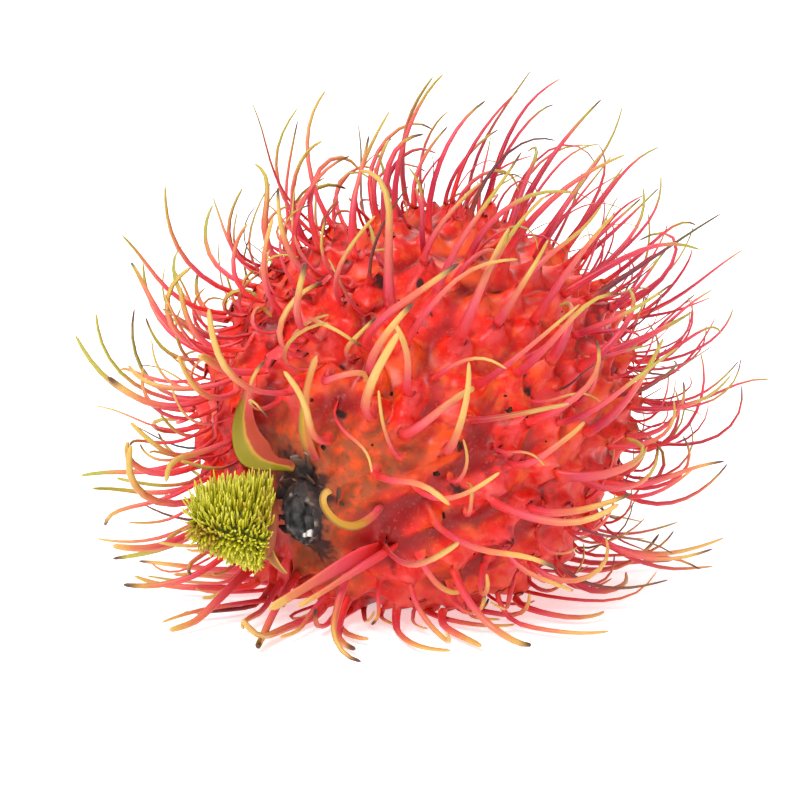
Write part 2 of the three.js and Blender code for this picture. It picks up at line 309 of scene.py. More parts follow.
def connect(node, inputs):
    """Gives a node's inputs, by name or in their own order, a value or a link each."""
    for key, value in inputs.items() if isinstance(inputs, dict) else enumerate(inputs):
        socket = node.inputs[key]
        if isinstance(value, bpy.types.NodeSocket):
            node.id_data.links.new(value, socket)
        elif socket.type == "RGBA" and len(value) == 3:
            socket.default_value = (*value, 1.0)
        else:
            socket.default_value = value


def add(tree, kind, inputs=(), output=0, **settings):
    """Adds a shader node with its settings and links, and returns one of its outputs."""
    node = tree.nodes.new("ShaderNode" + kind)
    for name, value in settings.items():
        if name == "stops":
            ramp = node.color_ramp
            while len(ramp.elements) < len(value):
                ramp.elements.new(0.5)
            for element, (position, shade) in zip(ramp.elements, value):
                element.position = position
                element.color = (*shade, 1.0)
        else:
            setattr(node, name, value)
    connect(node, inputs)
    return node.outputs[output]


def new_material(name, layers=()):
    """A material with only its shader and output, the place on the piece, and its layers."""
    material = bpy.data.materials.new(name)
    material.use_nodes = True
    tree = material.node_tree
    tree.nodes.clear()
    surface = add(tree, "BsdfPrincipled")
    connect(tree.nodes.new("ShaderNodeOutputMaterial"), {"Surface": surface})
    place = add(tree, "TexCoord", (), "Object")
    value = {key: add(tree, "Attribute", (), "Fac", attribute_name=key) for key in layers}
    return material, tree, surface.node, place, value


def add_object(name, data):
    made = bpy.data.objects.new(name, data)
    bpy.context.scene.collection.objects.link(made)
    return made


def new_mesh(bm, name, material):
    """Turns a bmesh into a mesh of one material."""
    mesh = bpy.data.meshes.new(name)
    bm.to_mesh(mesh)
    bm.free()
    mesh.materials.append(material)
    return mesh


def finish_piece(bm, name, material, replaced=(), place=Matrix()):
    """Turns a bmesh in millimetres into a smooth, finished piece that rides on the root body."""
    bmesh.ops.recalc_face_normals(bm, faces=bm.faces)
    bmesh.ops.transform(bm, matrix=place, verts=bm.verts)
    bmesh.ops.scale(bm, vec=(MM, MM, MM), verts=bm.verts)
    mesh = new_mesh(bm, name, material)
    mesh.polygons.foreach_set("use_smooth", [True] * len(mesh.polygons))
    piece = add_object(name, mesh)
    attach(piece, "root")
    if replaced:
        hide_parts(*replaced)


def new_bmesh(names):
    """A bmesh whose corners have a value of each name, and whose faces can be numbered."""
    bm = bmesh.new()
    bm.faces.layers.int.new("shoot")
    return bm, [bm.verts.layers.float.new(name) for name in names]


def new_face(bm, segments, radius, place=Matrix()):
    verts = bmesh.ops.create_circle(
        bm, cap_ends=True, segments=segments, radius=radius, matrix=place
    )["verts"]
    return verts[0].link_faces[0]


def grow(bm, shoots, layers):
    """Draws every shoot's face out along its own path, one ring after another.

    A shoot is a face, the frame that its corners' angles are read in (a middle and two ways),
    and its rings, each a function from an angle to a corner's place and values for the layers.
    """
    number = bm.faces.layers.int["shoot"]
    angles = []
    for i, (face, (middle, side, other), _) in enumerate(shoots):
        face[number] = i
        offsets = [vertex.co - middle for vertex in face.verts]
        angles.append([math.atan2(offset.dot(other), offset.dot(side)) for offset in offsets])
    faces = [shoot[0] for shoot in shoots]
    for ring in range(len(shoots[0][2])):
        faces = bmesh.ops.extrude_discrete_faces(bm, faces=faces)["faces"]
        for face in faces:
            corner = shoots[face[number]][2][ring]
            for vertex, angle in zip(face.verts, angles[face[number]]):
                vertex.co, values = corner(angle)
                for layer, value in zip(layers, values):
                    vertex[layer] = value
    bm.faces.layers.int.remove(number)


def sprout(bm, foot, side, way, segments, radius, rings):
    """A shoot from a new round face, which stands square to its way at its foot."""
    other = way.cross(side)
    turn = Matrix((side, other, way)).transposed().to_4x4()
    face = new_face(bm, segments, radius, Matrix.Translation(foot) @ turn)
    return face, (foot, side, other), rings


def oval(centre, side, other, values):
    """A ring for grow: an oval round a centre, with the same values all round."""

    def corner(angle):
        return centre + side * math.cos(angle) + other * math.sin(angle), values

    return corner


def cupped(centre, side, other, thick, cup, share, kind):
    """A ring for grow: a flat oval whose two edges bend up. Its values say where a corner is."""

    def corner(angle):
        x, y = math.cos(angle), math.sin(angle)
        place = centre + side * x + other * (thick * y + cup * (x * x - 0.5))
        return place, (share, x, y, kind)

    return corner


# ---- The spines' lines, as the solids have them, and the finer ones' ----

FINE_SEED = 4111
FINE_TURN = 1.3
# A finer spine's shortest and longest, and how much longer they are on the far and left sides.
FINE_SHORTEST, FINE_LONGEST, FINE_LONGER = 7.0, 12.0, 4.5
FINE_LOTS = {
    "aside": (-0.9, 0.9), "curl": (-1.3, 1.3), "lean": (0.15, 0.7),
    "bend": (0.3, 1.3), "hook": (0.0, 2.6, 2), "stout": (0.45, 0.8),
}
# Between a finer spine and its neighbours: by the stalk, and on the far, left and low sides.
FINE_GAP = (2.4, 1.6)
FINE_ROUND_STALK = 6.7
FINE_ROUND_FRUITLET = 1.0

CURL_SEED = 700
CURL_SEED_STEP = 13
LINE_SMOOTHINGS = 3
TIP_CLEARANCE = 0.8  # between a curled tip and the fruitlet's bristles
LEAN_READ_AT = 4.0  # how far out of the skin a line's lean is read


def root_at(along, angle, lean_way=COMBED):
    """The surface's point and ways there, from a share of the half length and an angle.

    A spine there leans over in the plane of the way out and the given one, whose normal is its
    side, and sway is how far the two ways stand apart.
    """
    ring = math.sqrt(max(0.0, 1 - along * along))
    across, over = ring * math.cos(angle), ring * math.sin(angle)
    root = from_fruit(HALF_WIDTH * across, HALF_HEIGHT * over, HALF_LENGTH * along) + CENTRE
    out = from_fruit(across / HALF_WIDTH, over / HALF_HEIGHT, along / HALF_LENGTH).normalized()
    side = out.cross(lean_way)
    place = {"root": root, "out": out, "sphere": Vector((across, over, along))}
    return {**place, "side": side.normalized(), "sway": side.length}


def spiral_root(draw, i, total, turn=0.0):
    """Root i of a golden spiral from the stalk to the far end, moved a little by lot."""
    along = -1 + (2 * i + 1) / total + (draw() - 0.5) * PLACE_JITTER
    return root_at(along, i * GOLDEN_ANGLE + turn + (draw() - 0.5) * TURN_JITTER)


def nearest_on_fruitlet(point):
    along = (point - FRUITLET_FOOT).dot(FRUITLET_WAY)
    nearest = FRUITLET_FOOT + FRUITLET_WAY * min(FRUITLET_LENGTH, max(0.0, along))
    return nearest, (nearest - point).length


def off_fruitlet(point, clearance):
    """Moves a point out of the fruitlet's bristles, straight away from its axis."""
    nearest, distance = nearest_on_fruitlet(point)
    keep = FRUITLET_RADIUS + BRISTLE_REACH + clearance
    if distance < keep:
        point = point + (point - nearest).normalized() * (keep - distance)
    return point


def grows(spine, stalk_room=BARE_ROUND_STALK, fruitlet_room=BARE_ROUND_FRUITLET):
    """Whether a spine stands there: not by the stalk or the fruitlet, and not underneath."""
    root = spine["root"]
    near_stalk = (root - STALK_FOOT).length < stalk_room
    underneath = root.z < HALF_HEIGHT / 2 and math.hypot(root.x, root.y) < BARE_UNDERNEATH
    near_fruitlet = nearest_on_fruitlet(root)[1] < FRUITLET_RADIUS + fruitlet_room
    return not (near_stalk or underneath or near_fruitlet)


def main_spines():
    """The spines that the solids have, from the same draws."""
    draw = Lots(SPINE_SEED)
    spines = []
    for i in range(SPINE_COUNT):
        spine = spiral_root(draw, i, SPINE_COUNT)
        spines.append({**spine, **by_lot(draw, SPINE_LOTS), "stout": 1.0})
    return [spine for spine in spines if grows(spine)]


def fine_spines(tries, others):
    """Shorter and thinner spines, where the main ones leave room."""
    draw = Lots(FINE_SEED)
    roots = [spine["root"] for spine in others]
    spines = []
    for i in range(tries):
        spine = spiral_root(draw, i, tries, FINE_TURN)
        out = spine["out"]
        far_side = smooth(0.0, 0.6, out.dot(APEXWARD)) * (1 - 0.8 * smooth(0.3, 0.85, out.z))
        left_side = 0.8 * smooth(0.15, 0.8, -out.x)
        low_side = 0.6 * smooth(0.0, 0.6, -out.z)
        longest = FINE_LONGEST + FINE_LONGER * max(far_side, left_side)
        lots = {"length": (FINE_SHORTEST, longest), **FINE_LOTS}
        spine = {**spine, **by_lot(draw, lots), "fine": True}
        gap = lerp(*FINE_GAP, max(far_side, low_side, left_side))
        if not grows(spine, FINE_ROUND_STALK, FINE_ROUND_FRUITLET):
            continue
        if min((spine["root"] - root).length_squared for root in roots) > gap**2:
            roots.append(spine["root"])
            spines.append(spine)
    return spines


def stalk_spines():
    """The bigger spines round the stalk."""
    spines = []
    for given in STALK_SPINES + FINE_STALK_SPINES:
        along = -math.sqrt(1 - (given["away"] / HALF_WIDTH) ** 2)
        placed = root_at(along, math.radians(given["round"]), APEXWARD)
        own = {"sway": 1.0, "stout": given["wide"] * 1.1}
        spines.append({**STALK_SPINE, **given, **placed, **own})
    return spines


def spine_line(spine):
    """A spine's line from its sunk root to its tip, at equal steps."""
    forth = spine["side"].cross(spine["out"])
    level = Vector((spine["out"].x, spine["out"].y, 0))
    step = (spine["length"] + SPINE_SINK) / SPINE_STEPS
    point = spine["root"] - spine["out"] * SPINE_SINK
    points = [point.copy()]
    for k in range(SPINE_STEPS):
        t = (k + 0.5) / SPINE_STEPS
        leaning = min(1, t / FOOT_SHARE) * spine["lean"] + t * spine["bend"]
        turn = leaning * spine["sway"] + t**3 * spine["hook"]
        plane = spine["aside"] + t * spine["curl"]
        way = spine["out"] * math.cos(turn)
        way += forth * (math.sin(turn) * math.cos(plane))
        way += spine["side"] * (math.sin(turn) * math.sin(plane))
        if point.z + way.z * step < FLOOR_CLEARANCE and way.z < 0:
            way.z = 0
            way = (way + level * SPLAY).normalized()
        point = off_fruitlet(point + way * step, FRUITLET_CLEARANCE)
        points.append(point.copy())
    return points


class Line:
    """A spine's line with a curled end, read at any length along it from the skin."""

    def __init__(self, spine, seed=1):
        self.points = spine_line(spine)
        self.length = spine["length"]
        curled = SPINE_STEPS // (5 if "end" in spine else 3)
        first = SPINE_STEPS - curled
        way = (self.points[first] - self.points[first - 1]).normalized()
        if "end" in spine:
            axis, most = Vector((0, 1, 0)), spine["end"]
        else:
            draw = Lots(seed)
            for _ in range(3):  # the first draws are alike for seeds close together
                draw()
            plane, most = draw(-math.pi, math.pi), draw(0.1, 2.1, 1.8)
            axis = Matrix.Rotation(plane, 3, way) @ way.orthogonal().normalized()
        self.curl_end(first, axis, most)
        for _ in range(LINE_SMOOTHINGS):
            points = self.points
            for k in range(3, SPINE_STEPS):
                points[k] = (points[k - 1] + 2 * points[k] + points[k + 1]) / 4
        self.side = spine["out"].cross(self.at(LEAN_READ_AT) - spine["root"]).normalized()

    def curl_end(self, first, axis, most):
        """Turns the end of the line more and more, as the tips curl."""
        points = self.points
        steps = [points[k] - points[k - 1] for k in range(first, SPINE_STEPS + 1)]
        for n, step in enumerate(steps):
            turned = Matrix.Rotation(most * (n / len(steps)) ** 1.3, 3, axis) @ step
            point = points[first + n - 1] + turned
            point.z = max(point.z, FLOOR_CLEARANCE)
            points[first + n] = off_fruitlet(point, TIP_CLEARANCE)

    def at(self, reach):
        """The point at a length out of the skin, on a smooth curve through the line's points."""
        place = (reach + SPINE_SINK) / (self.length + SPINE_SINK) * SPINE_STEPS
        k = min(SPINE_STEPS - 1, max(0, int(place)))
        s = place - k
        a, b = self.points[max(0, k - 1)], self.points[k]
        c, d = self.points[k + 1], self.points[min(SPINE_STEPS, k + 2)]
        curve = 2 * b + (c - a) * s + (2 * a - 5 * b + 4 * c - d) * s**2
        return 0.5 * (curve + (3 * b - a - 3 * c + d) * s**3)

    def way(self, reach):
        return (self.at(reach + 0.15) - self.at(reach - 0.15)).normalized()


# ---- The rind: one skin with its spines drawn out of it ----

# The looks by lot: directions of the fruit where the spines turn pale soonest, keep green and
# turn crimson, and how many are dried out or have a burnt tip.
LOOKS_SEED = 90210
PALE_SIDE = Vector((0.1, -0.95, 0.3))
GREEN_SIDE = Vector((-0.8, 0.6, 0.15)).normalized()
CRIMSON_SIDE = Vector((0.62, 0.42, 0.55)).normalized()
DRIED_SHARE = 0.055
BURNT_SHARE = 0.3

SKIN_LAYERS = ("along", "mound", "green", "crimson", "dry", "tone", "burnt", "scuff", "stain")
SPINE_LOOKS = ("green", "crimson", "dry", "tone", "burnt")

# A stem starts on a corner-to-corner hexagon of the skin, raised on its foot. Its rings stand at
# shares of the way to the foot's end, and then at shares of what is left of its length.
HEXAGON = 0.37
FOOT_TOP = 0.3
FOOT_LIFT = 1.9
FOOT_END = 3.6
FOOT_SHARES = (0.15, 0.5, 1.0)
STEM_SHARES = (0.15, 0.3, 0.44, 0.57, 0.69, 0.8, 0.9, 0.97, 1.0)
FIELD_RADIUS = 6.0  # how far from its root a spine shapes the skin
MOST_ROOM = 4.8  # to the next spine, beyond which mounds and feet grow no wider
# Mounds and feet are low up to the first distance from the stalk, and full from the second.
CALM_ROUND_STALK = (4.0, 10.0)
ALONG_FOOT = 0.07  # the "along" value where a stem leaves its foot

SKIN_SMOOTHINGS = 4
STUB_COLLAR = 1.6  # how far the skin swells on the stub's right
SCARS_SEED = 333
SCARS_BY_LOT = 24
# the patch below the stub, where dark stain and corky brown are painted shade
PAINTED_SHADE_PATCH = STALK_FOOT - OVER * 5.2
# Dark stains round the stalk, and painted shade below the stub: the middle, the radius and the
# strength.
STAINS_AND_SHADE = ((STALK_FOOT, 3.9, 0.9), (PAINTED_SHADE_PATCH, 3.2, 0.5))
# Brown corky skin: how far from a middle the brown is full and where it ends. The patch is wide
# and ragged, and the others are round. Below the stub the brown is painted shade.
CORKY_PATCH = STALK_FOOT + ACROSS * -4.6 + OVER * 2.8 + APEXWARD * 1.2
CORKY_PATCH_ENDS = (2.2, 5.0)
CORKY_AND_SHADE_ROUNDS = ((STALK_FOOT, 3.8, 6.6), (PAINTED_SHADE_PATCH, 2.5, 5.0))


def dress(spines):
    """Gives each spine its thickness and its colours, by where it stands and by lot."""
    draw = Lots(LOOKS_SEED)
    for spine in spines:
        out = spine["out"]
        facing = out.dot(STALKWARD)
        girth = lerp(0.55, 0.98, smooth(-0.75, 0.45, facing))
        spine["stout"] *= girth * draw(0.76, 1.14)
        blunt = lerp(0.1, 1.0, smooth(0.3, 0.95, facing))
        spine["blunt"] = blunt * draw(0.6, 1.2)
        spine["green"] = smooth(0.2, 0.95, out.dot(GREEN_SIDE) + draw(-0.3, 0.3))
        crimson = smooth(-0.35, 0.6, out.dot(CRIMSON_SIDE) + draw(-0.35, 0.35))
        spine["crimson"] = crimson * (1 - spine["green"])
        dry_lot, dryness = draw(), draw(0.6, 1.0)
        spine["dry"] = dryness if dry_lot < DRIED_SHARE and "wide" not in spine else 0.0
        spine["tone"] = draw(-1, 1) + 0.9 * smooth(0.1, 0.8, out.dot(PALE_SIDE))
        spine["burnt"] = 1.0 if draw() < BURNT_SHARE else 0.0


def skin_fields(places, spines, lines):
    """Raises a mound and a trumpet-shaped foot round every spine. Returns places and values."""
    moved = places.copy()
    values = {name: np.zeros(len(places)) for name in SKIN_LAYERS}
    height = bpy.context.scene.rambutan_sizes.mound_height / MM
    everyone = [spine["root"] for spine in spines]
    bigger = [spine["root"] for spine in spines if "fine" not in spine]
    for spine, line in zip(spines, lines):
        fine, broad = "fine" in spine, "wide" in spine
        root, out, stout = spine["root"], spine["out"], spine["stout"]
        others = everyone if fine else bigger
        room = min(MOST_ROOM, sorted((root - other).length for other in others)[1])
        full = smooth(*CALM_ROUND_STALK, (root - STALK_FOOT).length)
        offset = places - np.array(root)
        near = np.flatnonzero((offset**2).sum(axis=1) < FIELD_RADIUS**2)
        offset = offset[near]
        lean = square_to(line.at(LEAN_READ_AT) - root, out)
        forth, aside = offset @ np.array(lean), offset @ np.array(out.cross(lean))

        # the mound is a ridge that climbs from behind the spine the way that it leans
        behind = forth + 0.15 * room
        mound = np.exp(-((behind / (0.6 * room)) ** 2) - (aside / (0.33 * room)) ** 2)
        mound *= 0.0 if fine else min(1.1, 0.4 + 0.6 * stout) * min(1.0, room / 4) ** 1.3
        mound *= lerp(0.3, 1.0, full)

        # the foot is a trumpet that follows the line
        foot_size = 0.4 if fine else min(0.9, 0.22 * room) * (0.65 + 0.35 * min(1.0, stout))
        foot = np.exp(-np.maximum(0.0, np.hypot(forth, 0.9 * aside) - FOOT_TOP) / foot_size)
        raised = FOOT_LIFT * (0.5 if fine or broad else lerp(0.6, 1.0, full))
        spine["start"] = raised * math.exp(-max(0.0, 0.95 * HEXAGON - FOOT_TOP) / foot_size)
        reaches = np.linspace(0, raised, 12)
        rise = np.array([line.at(reach) - root for reach in reaches])
        lift = np.stack([np.interp(foot * raised, reaches, rise[:, k]) for k in range(3)], 1)
        widen = 0.0 if broad else max(0.0, 0.62 * stout / HEXAGON - 1)
        spread = widen * np.exp(-(forth**2 + aside**2))
        flat = offset - np.outer(offset @ np.array(out), out)

        moved[near] += lift + np.outer(mound * height, out) + flat * spread[:, None]
        values["along"][near] += ALONG_FOOT * foot
        values["mound"][near] += mound
        for name in SPINE_LOOKS:
            values[name][near] += spine[name] * foot
    return moved, values


def body_shares(vector):
    """A vector in the body's half sizes, by which the body is a ball of radius 1."""
    return Vector((
        vector.dot(ACROSS) / HALF_WIDTH,
        vector.dot(OVER) / HALF_HEIGHT,
        vector.dot(APEXWARD) / HALF_LENGTH,
    ))


def root_in_view(x, y):
    """The root on the bare body that shows at a pixel of the view, to a hundredth and a degree."""
    cos, sin = math.cos(CAMERA_ELEVATION), math.sin(CAMERA_ELEVATION)
    right = (x - VIEW_MIDDLE[0]) * VIEW_PIXEL
    up = (VIEW_MIDDLE[1] - y) * VIEW_PIXEL
    place = body_shares(Vector((right, up * sin, up * cos)))
    away = body_shares(Vector((0, cos, -sin)))
    halfway = place - away * (place.dot(away) / away.length_squared)
    hit = halfway - away * math.sqrt((1 - halfway.length_squared) / away.length_squared)
    return root_at(round(hit.z, 2), math.radians(round(math.degrees(math.atan2(hit.y, hit.x)))))


def scar_places():
    """Every scar's root on the bare body, and its width: the listed ones and some by lot."""
    draw = Lots(SCARS_SEED)
    scars = [{**root_in_view(x, y), "width": wide} for x, y, wide in SCARS]
    for _ in range(SCARS_BY_LOT):
        scar = root_at(draw(-0.75, 0.95), draw(-math.pi, math.pi))
        scar["width"] = draw(0.35, 0.9, 2)
        if scar["out"].y > -0.3 and grows(scar):
            scars.append(scar)
    return scars


def mark_skin(places, outs, moved, values):
    """Dents and stains the skin under every scar, stains it by the stalk and swells it there, and
    paints shade below the stub.
    """
    for scar in scar_places():
        away = np.linalg.norm(places - np.array(scar["root"]), axis=1) / scar["width"]
        values["stain"] += np.exp(-((away / 0.62) ** 2))
        moved -= outs * (0.3 * min(1.0, scar["width"]) * np.exp(-((away / 0.6) ** 2)))[:, None]
    for middle, radius, strength in STAINS_AND_SHADE:
        away = np.linalg.norm(places - np.array(middle), axis=1)
        values["stain"] += strength * np.exp(-((away / radius) ** 4))
    from_stalk = places - np.array(STALK_FOOT)
    away = np.linalg.norm(from_stalk, axis=1)
    beside = from_stalk @ np.array(-ACROSS) / np.maximum(0.1, away)
    collar = STUB_COLLAR * np.exp(-(((away - STUB_RADIUS + 0.2) / 1.8) ** 2))
    collar *= np.clip(0.5 + 0.7 * beside, 0, 1)
    moved += outs * collar[:, None]


def corkiness_and_shade(base):
    """How brown the skin is: corky in one patch and round the stalk, and painted shade below the
    stub.
    """
    offset = base - CORKY_PATCH
    away = math.hypot(0.65 * offset.dot(ACROSS), offset.dot(OVER), offset.dot(APEXWARD))
    away += 1.3 * noise.noise(base / 1.6)
    clean = smooth(*CORKY_PATCH_ENDS, away)
    for middle, full, end in CORKY_AND_SHADE_ROUNDS:
        clean = min(clean, smooth(full, end, (base - middle).length))
    return 1 - clean


def hexagons(bm, spines):
    """Opens a hexagon in the ball at each spine's root, and returns them in the spines' order."""
    bm.verts.ensure_lookup_table()
    tree = KDTree(len(bm.verts))
    for vertex in bm.verts:
        tree.insert(vertex.co, vertex.index)
    tree.balance()
    hubs = [bm.verts[tree.find(spine["sphere"])[1]] for spine in spines]
    corners = [hub.link_edges[0].other_vert(hub) for hub in hubs]
    places = [hub.co.copy() for hub in hubs]
    bmesh.ops.dissolve_verts(bm, verts=hubs)
    faces = []
    for corner, place in zip(corners, places):
        wide = [face for face in corner.link_faces if len(face.verts) > 4]
        faces.append(min(wide, key=lambda face: (face.calc_center_median() - place).length))
    return faces


def inside_box(point, wide):
    """Keeps a round of this half width inside the solids' box."""
    low, high = ([x / MM for x in corner] for corner in CAD_BOX)
    spare = wide + 0.05
    return Vector([min(h - spare, max(l + spare, x)) for x, l, h in zip(point, low, high)])


def stem_rings(spine, line, middle):
    """The rings of a spine's stem, from a middle just above the skin to its tip."""
    sizes = bpy.context.scene.rambutan_sizes
    stout = spine["stout"] * (1 - 0.5 * spine["dry"])
    wide_foot = 0.66 * spine["stout"]
    wide_middle = sizes.spine_width / MM / 2 * stout
    wide_tip = sizes.tip_width / MM / 2 * stout * lerp(0.55, 1.35, spine["blunt"])
    start, side = spine["start"], line.side
    slip = middle - line.at(start)
    looks = [spine[name] for name in SPINE_LOOKS]
    reaches = [lerp(start, FOOT_END, share) for share in FOOT_SHARES]
    reaches += [lerp(FOOT_END, line.length, share) for share in STEM_SHARES]
    rings = []
    for reach in reaches:
        share = reach / line.length
        way = line.way(reach)
        side = square_to(side, way)
        if share < 0.3:
            wide = lerp(wide_foot, wide_middle, smooth(0.08, 0.3, share))
        else:
            wide = lerp(wide_middle, wide_tip, ((share - 0.3) / 0.7) ** 0.9)
        wide *= 0.35 if share > 0.995 else 0.82 if share > 0.96 else 1.0
        thick = wide * lerp(0.66, 0.95, smooth(0.1, 0.8, share))
        centre = line.at(reach) + slip * (1 - min(1.0, share * 1.3)) ** 2
        centre = inside_box(centre, wide)
        clear = (reach - start) / (line.length - start)
        values = (lerp(ALONG_FOOT, 1.0, clear), 1.0, *looks, 0.0, 0.0)
        rings.append(oval(centre, side * wide, way.cross(side) * thick, values))
    return rings


def build_rind():
    """The skin: a ball with a hexagon for each spine, raised, marked, folded and drawn out."""
    mains, stalks = main_spines(), stalk_spines()
    tries = bpy.context.scene.rambutan_sizes.fine_spines
    spines = mains + fine_spines(tries, mains + stalks)
    dress(spines + stalks)
    lines = [Line(spine, CURL_SEED + CURL_SEED_STEP * i) for i, spine in enumerate(spines)]
    stalk_lines = [Line(spine) for spine in stalks]

    bm, layers = new_bmesh(SKIN_LAYERS)
    bmesh.ops.create_icosphere(bm, subdivisions=7, radius=1)
    faces = hexagons(bm, spines)
    bm.verts.ensure_lookup_table()
    sphere = np.array([vertex.co for vertex in bm.verts])
    axes = np.array([ACROSS * HALF_WIDTH, OVER * HALF_HEIGHT, APEXWARD * HALF_LENGTH])
    places = sphere @ axes + np.array(CENTRE)
    outs = (sphere / (HALF_WIDTH, HALF_HEIGHT, HALF_LENGTH)) @ np.array([ACROSS, OVER, APEXWARD])
    outs /= np.linalg.norm(outs, axis=1)[:, None]
    moved, values = skin_fields(places, spines + stalks, lines + stalk_lines)
    mark_skin(places, outs, moved, values)

    for index, vertex in enumerate(bm.verts):
        # folds 2 mm apart, combed the way that the spines lean
        base = Vector(places[index])
        combed = base - COMBED * (0.8 * base.dot(COMBED))
        fold = abs(noise.noise(combed / 2.2))
        swell = 0.4 * noise.noise(base / 5.5) + 0.9 * fold + 0.05 * noise.noise(combed / 0.7)
        place = Vector(moved[index]) + Vector(outs[index]) * swell
        vertex.co = (place.x, place.y, max(0.0, place.z))
        # the mound value drops in the folds' creases, which paints shade into them
        values["mound"][index] *= lerp(0.4, 1.15, smooth(0.0, 0.1, fold))
        values["scuff"][index] = corkiness_and_shade(base)
        for layer, name in zip(layers, SKIN_LAYERS):
            vertex[layer] = values[name][index]

    held = {vertex for face in faces for vertex in face.verts}
    free = [vertex for vertex in bm.verts if vertex not in held]
    for _ in range(SKIN_SMOOTHINGS):
        bmesh.ops.smooth_vert(
            bm, verts=free, factor=0.5, use_axis_x=True, use_axis_y=True, use_axis_z=True
        )
    shoots = []
    for spine, line, face in zip(spines, lines, faces):
        middle = face.calc_center_median()
        frame_here = (middle, line.side, line.way(spine["start"]).cross(line.side))
        shoots.append((face, frame_here, stem_rings(spine, line, middle)))
    grow(bm, shoots, layers)
    finish_piece(bm, "rind_and_spines", rind_material(), ["rind"])


def rind_material():
    """Living fruit skin: waxy and a little see-through, so light glows in the thin spines."""
    colours = bpy.context.scene.rambutan_colours
    name = "Rambutan skin, fresh and waxy"
    material, tree, shader, place, value = new_material(name, SKIN_LAYERS)
    # Blotches of 6 mm, mottling of 1 mm, flecks of 0.3 mm and rosy patches of 5 mm, then the dots
    # of corky skin, 0.5 mm across, and a grain of 1 mm. Real creases are finer: these are drawn
    # as coarse as they need to show.
    blotch, mottle, fleck, rosy, dots, grain = (
        add(tree, "TexNoise", {"Vector": place, "Scale": scale, "Detail": detail})
        for scale, detail in ((160, 3), (900, 4), (3200, 2), (210, 3), (1900, 4), (1100, 5))
    )
    patches = add(tree, "Math", (mottle, 0.6, blotch), operation="MULTIPLY_ADD")
    skin = add(tree, "ValToRGB", (patches,), stops=[
        (0.58, colours.rind_deep_and_hollow_shade), (0.7, colours.rind_red), (0.8, colours.rind_red),
        (0.94, colours.rind_orange)])
    # Corky skin is orange brown with brown dots.
    corky = add(tree, "ValToRGB", (mottle,), stops=[
        (0.44, colours.scuff), (0.7, colours.rind_orange)])
    dots = add(tree, "MapRange", (dots, 0.57, 0.7, 0.0, 0.65))
    corky = add(tree, "Mix", {0: dots, 6: corky, 7: colours.wood_pale}, 2, data_type="RGBA")
    # Rosy patches, partly the skin's own coral and partly painted sheen, painted shade in the
    # hollows between the mounds, painted sheen on their tops, pale flecks, and the corky skin with
    # painted shade below the stub lie over one another. A share is read from the first two numbers
    # to the last two.
    # painted sheen: the mounds' tops turn pink where the mottling is high
    mound_top_sheen = add(tree, "Math", (value["mound"], mottle), operation="MULTIPLY")
    for share, span, over in (
        (rosy, (0.52, 0.72, 0.0, 0.45), colours.rind_pink_and_sheen),
        (value["mound"], (0.04, 0.34, 0.95, 0.0), colours.rind_deep_and_hollow_shade),
        (mound_top_sheen, (0.3, 0.65, 0.0, 0.6), colours.rind_pink_and_sheen),
        (fleck, (0.6, 0.7, 0.0, 0.25), colours.spine_salmon),
        (value["scuff"], (0.0, 1.0, 0.0, 0.9), corky),
    ):
        share = add(tree, "MapRange", (share, *span))
        skin = add(tree, "Mix", {0: share, 6: skin, 7: over}, 2, data_type="RGBA")

    # A spine's colours from foot to tip. Its tone and the mottling move the change of colour.
    shift = value["along"]
    for mover in (value["tone"], mottle):
        shift = add(tree, "Math", (mover, 0.16, shift), operation="MULTIPLY_ADD")
    whole, green, crimson, dried = (
        add(tree, "ValToRGB", (shift,), stops=stops)
        for stops in (
            [(0.2, colours.rind_red), (0.56, colours.spine_pink), (0.84, colours.spine_salmon),
             (1.0, colours.spine_yellow)],
            [(0.2, colours.rind_red), (0.48, colours.spine_pink), (0.68, colours.spine_salmon),
             (0.88, colours.spine_green)],
            [(0.15, colours.rind_red), (0.45, colours.spine_crimson), (0.85, colours.spine_pink),
             (1.0, colours.spine_olive)],
            [(0.12, colours.rind_deep_and_hollow_shade), (0.38, colours.wood_pale), (0.55, colours.spine_dry)],
        )
    )
    tip, on_skin = (
        add(tree, "MapRange", (value["along"], *span), interpolation_type="SMOOTHSTEP")
        for span in ((0.86, 0.97), (0.25, 0.05))
    )
    burnt = add(tree, "Math", (tip, value["burnt"]), operation="MULTIPLY")
    # The mottling breaks the edges of the stains and of the painted shade below the stub.
    ragged = add(tree, "Math", (mottle, 2.4, -0.2), operation="MULTIPLY_ADD")
    stain_and_shade_mix = add(tree, "Math", (value["stain"], ragged), operation="MULTIPLY")
    stain_and_shade_mix = (stain_and_shade_mix, 0.3, 0.75, 0.0, 0.95)
    stain_and_shade_mix = add(tree, "MapRange", stain_and_shade_mix, interpolation_type="SMOOTHSTEP")
    for share, over in (
        (value["green"], green), (value["crimson"], crimson), (burnt, colours.wood_pale),
        (value["dry"], dried), (on_skin, skin), (stain_and_shade_mix, colours.wood_and_shade),
    ):
        whole = add(tree, "Mix", {0: share, 6: whole, 7: over}, 2, data_type="RGBA")

    rough = add(tree, "MapRange", (mottle, 0.0, 1.0, 0.25, 0.55))
    marked = add(tree, "Math", (value["scuff"], stain_and_shade_mix), operation="MAXIMUM")
    bump = {"Strength": 0.32, "Distance": 0.15 * MM, "Height": grain}
    connect(shader, {
        "Base Color": whole,
        "Roughness": add(tree, "Math", (marked, 0.4, rough), operation="MULTIPLY_ADD"),
        "Normal": add(tree, "Bump", bump),
        "IOR": 1.35,
        "Subsurface Weight": 0.15,
        "Subsurface Radius": (1.0, 0.3, 0.2),
        "Subsurface Scale": 0.7 * MM,
        "Coat Weight": 0.1,
        "Coat Roughness": 0.3,
    })
    return material


# ---- Dried scars on the skin ----

